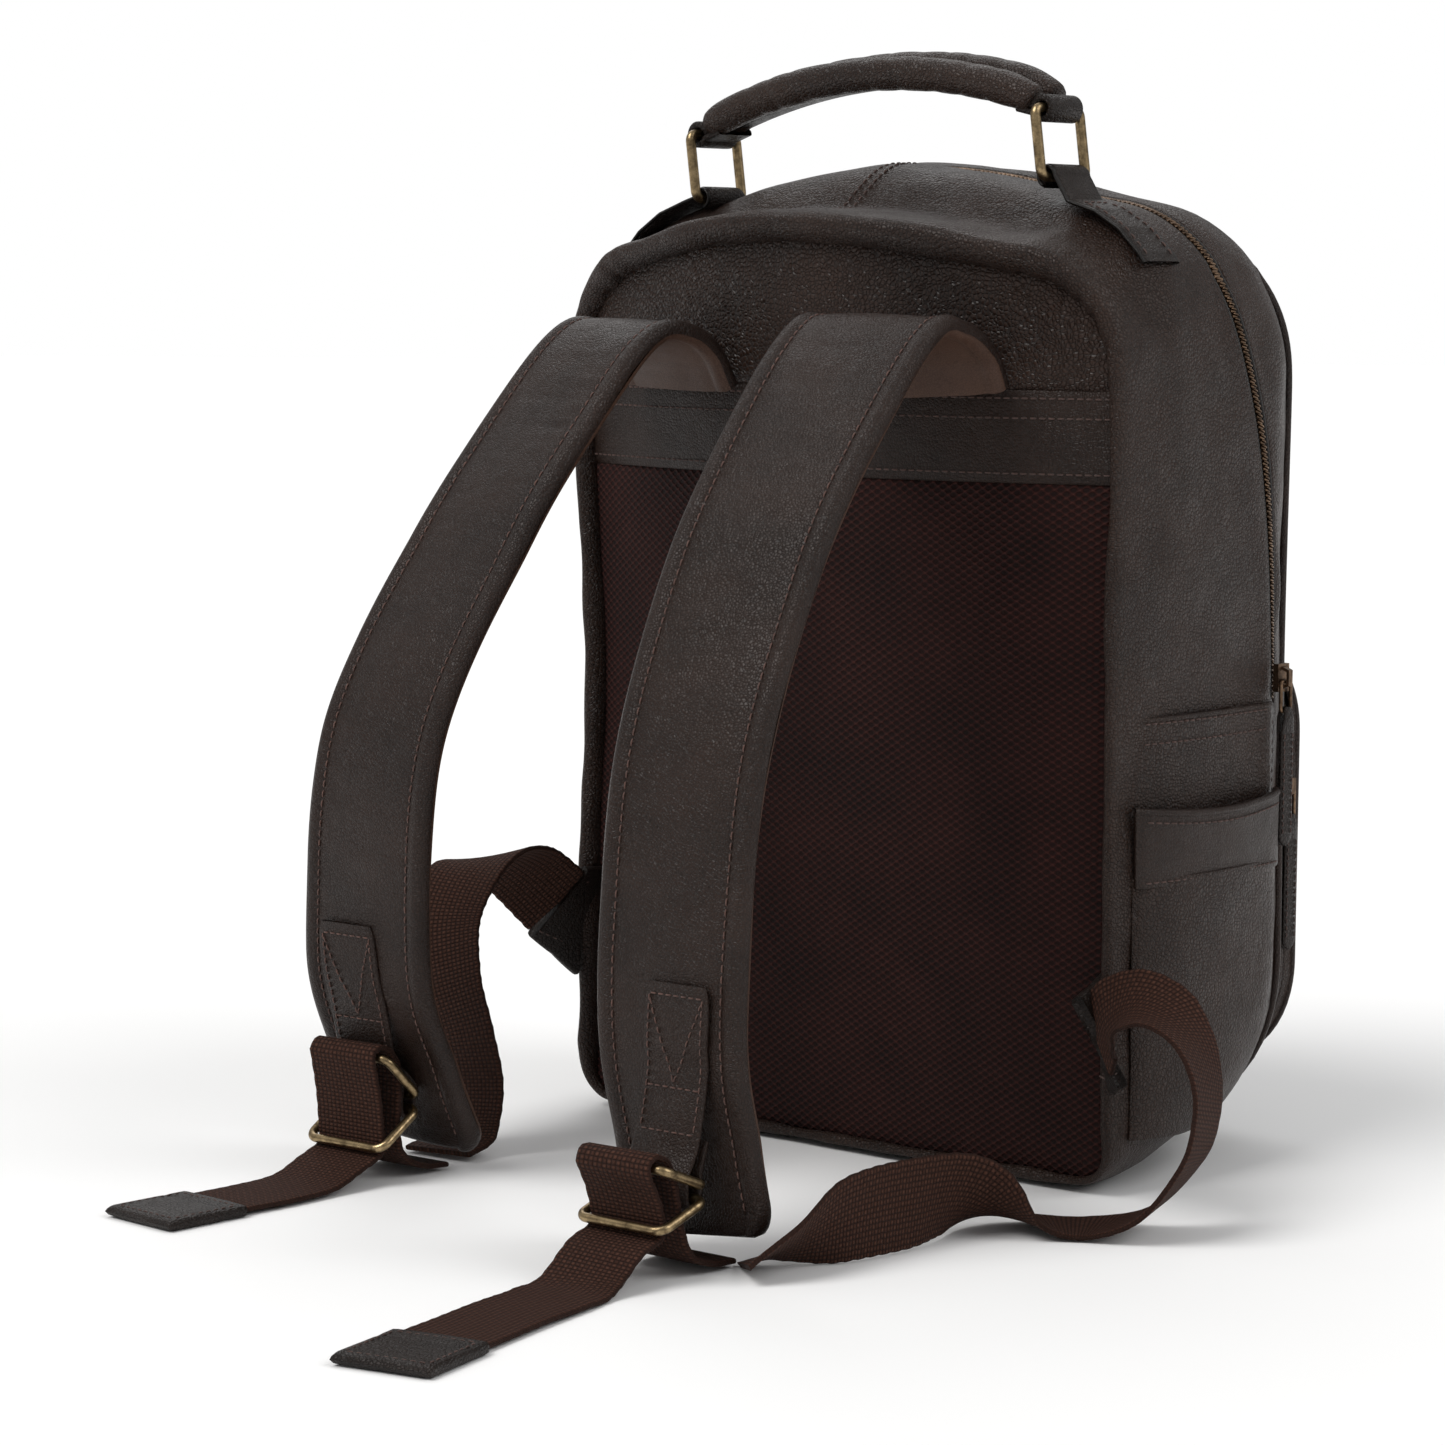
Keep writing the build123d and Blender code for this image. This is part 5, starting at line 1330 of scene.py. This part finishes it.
for word in ("right", "left"):
    body = f"strap_{word}"
    seed = 41.0 if word == "right" else 57.0
    face, face_grid, outs = strap_surface(f"{body}_pad_leather", word, OUTER, SMOOTH, seed, 0.00030)
    place(face, body, "leather", [f"{body}_leather", f"{body}_foam"])
    under, _, _ = strap_surface(f"{body}_pad_lining", word, UNDER, STRAP_LINING, seed + 1, 0.00034)
    place(under, body, "strap_lining", [f"{body}_lining"])
    columns = len(OUTER) * 2 - 1
    for side, column in (("inner", 9), ("outer", columns - 10)):
        path, normals = row_on_strap(face_grid, column, outs, 0.00035)
        stitches(f"{body}_stitches_{side}", path, normals, body, 0.0042, 0.0031)
    # stitched tab that holds the cinch rings
    place_mm, upper_leg, lower_leg = CINCH[word]
    yaw = radians(STRAP_YAW[word][1])
    origin = np.array(place_mm) * MM
    out_dir = np.array([sin(yaw), -cos(yaw), 0.0])
    across = np.array([cos(yaw), sin(yaw), 0.0])
    line = strap_face(word)
    on_face = line[(line[:, 1] < 78) & (line[:, 1] > 34)]
    lay = [(o + 1.9, u) for o, u in on_face[::6]]
    lay += [(lay[-1][0] * 0.45 + 1.2, 17.0), (3.1, 7.0), (3.9, 1.0), (3.4, -4.5), (0.4, -6.6), (-3.0, -4.6),
        (-3.7, 0.5), (-4.2, 7.0), (lay[-1][0] * 0.75 - 2.4, 18.0)]
    tab_path = curve_through(np.array(lay, float), 150)
    taper = np.interp(np.linspace(0, 1, 150), [0, 0.04, 0.1, 1], [0.86, 0.97, 1.0, 1.0])
    tab, lines, normals = plane_band(f"{body}_cinch_tab", tab_path, origin, out_dir, across, 0.0160, 0.0021,
        SMOOTH, body, "leather", taper)
    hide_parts(f"{body}_tab")
    flip = 1.0 if (normals[20] @ out_dir) > 0 else -1.0
    normals = normals * flip
    for side in (-1, 1):
        keep = slice(6, 74)
        path = lines[keep] + across * side * 0.0132 + normals[keep] * 0.00115
        stitches(f"{body}_tab_stitches_{HAND[side]}", path, normals[keep], body, *TAB_STITCH)
    for level, index in (("top", 6), ("middle", 52), ("foot", 74)):
        path = lines[index] + np.linspace(-0.0132, 0.0132, 30)[:, None] * across + normals[index] * 0.00115
        stitches(f"{body}_tab_row_{level}", path, np.broadcast_to(normals[index], path.shape), body,
            *TAB_STITCH)
    for side in (-1, 1):
        share = np.linspace(0, 1, 30)[:, None]
        index = np.linspace(8, 50, 30).astype(int)
        path = lines[index] + across * side * 0.0132 * (1 - share) + normals[index] * 0.00115
        stitches(f"{body}_tab_vee_{HAND[side]}", path, normals[index], body, *TAB_STITCH)
    # free webbing with its leather end
    tail, rows, normal, length = ribbon(f"webbing_tail_{word}", tail_stations(word), body,
        [f"webbing_{word}_tail"], seed=seed)
    end, course = rows[-1, :3], rows[-1, :3] - rows[-5, :3]
    course = unit(course)
    side_dir = rows[-1, 3:6] - course * (rows[-1, 3:6] @ course)
    side_dir = unit(side_dir)
    t = np.linspace(0, 1, 40)
    x = -0.014 + 0.040 * t
    half = np.full(40, 0.0205)
    tall = np.where(t < 0.9, 0.0023,
        0.0023 * np.sqrt(np.clip(1 - ((t - 0.9) / 0.1) ** 2, 0, 1)) * 0.95 + 0.00004)
    tall = tall * (1 - 0.10 * np.exp(-((t - 0.25) / 0.05) ** 2))
    ring = [(-1, 0), (-0.99, 0.6), (-0.95, 0.92), (-0.85, 1.0), (-0.4, 1.04), (0, 1.06), (0.4, 1.04),
        (0.85, 1.0), (0.95, 0.92), (0.99, 0.6), (1, 0),
            (0.99, -0.6), (0.95, -0.92), (0.85, -1.0), (0, -1.0), (-0.85, -1.0), (-0.95, -0.92),
            (-0.99, -0.6)]
    grid = np.zeros((40, len(ring), 3))
    for q, (a, b) in enumerate(ring):
        spot = end + x[:, None] * course + (a * half)[:, None] * side_dir
        spot[:, 2] = 0.0026 + b * tall
        grid[:, q] = spot
    grid[..., 2] += wobble(grid, 0.015, 0.00025, seed)
    grid[..., 2] = np.maximum(grid[..., 2], 0.0002)
    tip = grid_object(f"webbing_tip_leather_{word}", with_ends(grid), TAB, closed_v=True)
    place(tip, body, "leather", [f"webbing_{word}_tip"])
    corners = [(-0.011, -0.0172), (0.0215, -0.0172), (0.0215, 0.0172), (-0.011, 0.0172), (-0.011, -0.0172)]
    for k in range(4):
        a, b = np.array(corners[k]), np.array(corners[k + 1])
        share = np.linspace(0.02, 0.98, 30)[:, None]
        flat = a + (b - a) * share
        path = end + flat[:, :1] * course + flat[:, 1:] * side_dir
        path[:, 2] = 0.0026 + 0.00236
        stitches(f"webbing_tip_{word}_stitches_{k}", path, np.broadcast_to([0, 0, 1.0], path.shape), body,
            *TIP_STITCH, material=DARK_THREAD)
    # webbing between the bag's corner tab and the strap
    lower, rows, _, length = ribbon(f"webbing_lower_{word}_band", WEBBING_ROUTES[word], "bag", [],
        seed=seed + 3, ride=False)
    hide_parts(f"webbing_{word}_lower")
    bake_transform(lower)
    # leather corner tab sewn into the roll's seam
    ext = [TAB_ROOTS[word], WEBBING_ROUTES[word][0]]
    _, rows, normal, _ = ribbon(f"corner_tab_leather_{word}", ext, "bag", [f"corner_tab_{word}"],
        half=0.0205, thick=0.0050, material=TAB, slot_name="leather", count=36, seed=seed + 4, scallop=0.0,
        widths=[0.0270, 0.0225, 0.0208])
    for side in (-1, 1):
        path = rows[3:-2, :3] + rows[3:-2, 3:6] * side * 0.0172 + normal[3:-2] * 0.0028
        stitches(f"corner_tab_{word}_stitches_{LEVEL[side]}", path, normal[3:-2], "bag", *CORNER_STITCH,
            material=DARK_THREAD)
        path = rows[3:-2, :3] + rows[3:-2, 3:6] * side * 0.0172 - normal[3:-2] * 0.0028
        stitches(f"corner_tab_{word}_back_{LEVEL[side]}", path, -normal[3:-2], "bag", *CORNER_STITCH,
            material=DARK_THREAD)

# ------------------------------------------------------------------ floor, light and camera
floor_mesh = bpy.data.meshes.new("floor")
floor_mesh.from_pydata([(-60, -60, 0), (60, -60, 0), (60, 60, 0), (-60, 60, 0)], [], [(0, 1, 2, 3)])
floor = bpy.data.objects.new("floor", floor_mesh)
bpy.context.scene.collection.objects.link(floor)
floor_nodes = Nodes("pale_floor")
soft_grey = floor_nodes.noise(floor_nodes.coordinate(), 2.0)
floor_tone = floor_nodes.ramp(soft_grey, [(0.3, 0.955), (0.7, 0.965)])
floor_mesh.materials.append(floor_nodes.finish(Base_Color=floor_tone, Roughness=0.9,
    Specular_IOR_Level=0.1))

world = bpy.data.worlds.new("studio")
world.use_nodes = True
web = world.node_tree
backdrop = web.nodes["Background"]
backdrop.inputs["Color"].default_value = (1.0, 1.0, 1.0, 1.0)
backdrop.inputs["Strength"].default_value = 0.42
seen = web.nodes.new("ShaderNodeBackground")
seen.inputs["Color"].default_value = (1.0, 1.0, 1.0, 1.0)
seen.inputs["Strength"].default_value = 1.0
path_kind = web.nodes.new("ShaderNodeLightPath")
choice = web.nodes.new("ShaderNodeMixShader")
web.links.new(path_kind.outputs["Is Camera Ray"], choice.inputs[0])
web.links.new(backdrop.outputs[0], choice.inputs[1])
web.links.new(seen.outputs[0], choice.inputs[2])
web.links.new(choice.outputs[0], web.nodes["World Output"].inputs["Surface"])
bpy.context.scene.world = world


def sun(name, toward, strength, spread, tint=(1.0, 1.0, 1.0)):
    """Soft light from a far, wide source in a direction from the bag."""
    light = bpy.data.lights.new(name, "SUN")
    light.energy = strength
    light.angle = radians(spread)
    light.color = tint
    holder = bpy.data.objects.new(name, light)
    bpy.context.scene.collection.objects.link(holder)
    holder.rotation_euler = Vector(toward).to_track_quat("Z", "Y").to_euler()
    return holder


sun("key_softbox", (-0.25, -0.85, 1.25), 1.7, 34.0, (1.0, 0.99, 0.975))
sun("side_softbox", (1.0, 0.35, 0.9), 0.8, 40.0)
sun("rim_softbox", (-0.7, 0.7, 0.9), 0.5, 40.0)

CAMERA_PLACE = (1.1345, -1.4503, 0.3757)
CAMERA_YAW, CAMERA_PITCH, CAMERA_ROLL = radians(40.89), radians(6.03), radians(0.386)
camera = bpy.data.cameras.new("camera")
camera.sensor_width = 36.0
camera.lens = 36.0 * 4166.0 / 1445.0
camera.clip_end = 20.0
camera_object = bpy.data.objects.new("camera", camera)
bpy.context.scene.collection.objects.link(camera_object)
ahead = Vector((-sin(CAMERA_YAW) * cos(CAMERA_PITCH), cos(CAMERA_YAW) * cos(CAMERA_PITCH),
    -sin(CAMERA_PITCH)))
level_right = Vector((cos(CAMERA_YAW), sin(CAMERA_YAW), 0.0))
level_up = level_right.cross(ahead)
right_dir = level_right * cos(CAMERA_ROLL) + level_up * sin(CAMERA_ROLL)
up_dir = right_dir.cross(ahead)
camera_object.matrix_world = Matrix.Translation(CAMERA_PLACE) @ Matrix((right_dir, up_dir,
    -ahead)).transposed().to_4x4()
bpy.context.scene.camera = camera_object
bpy.context.scene.view_settings.view_transform = "Standard"
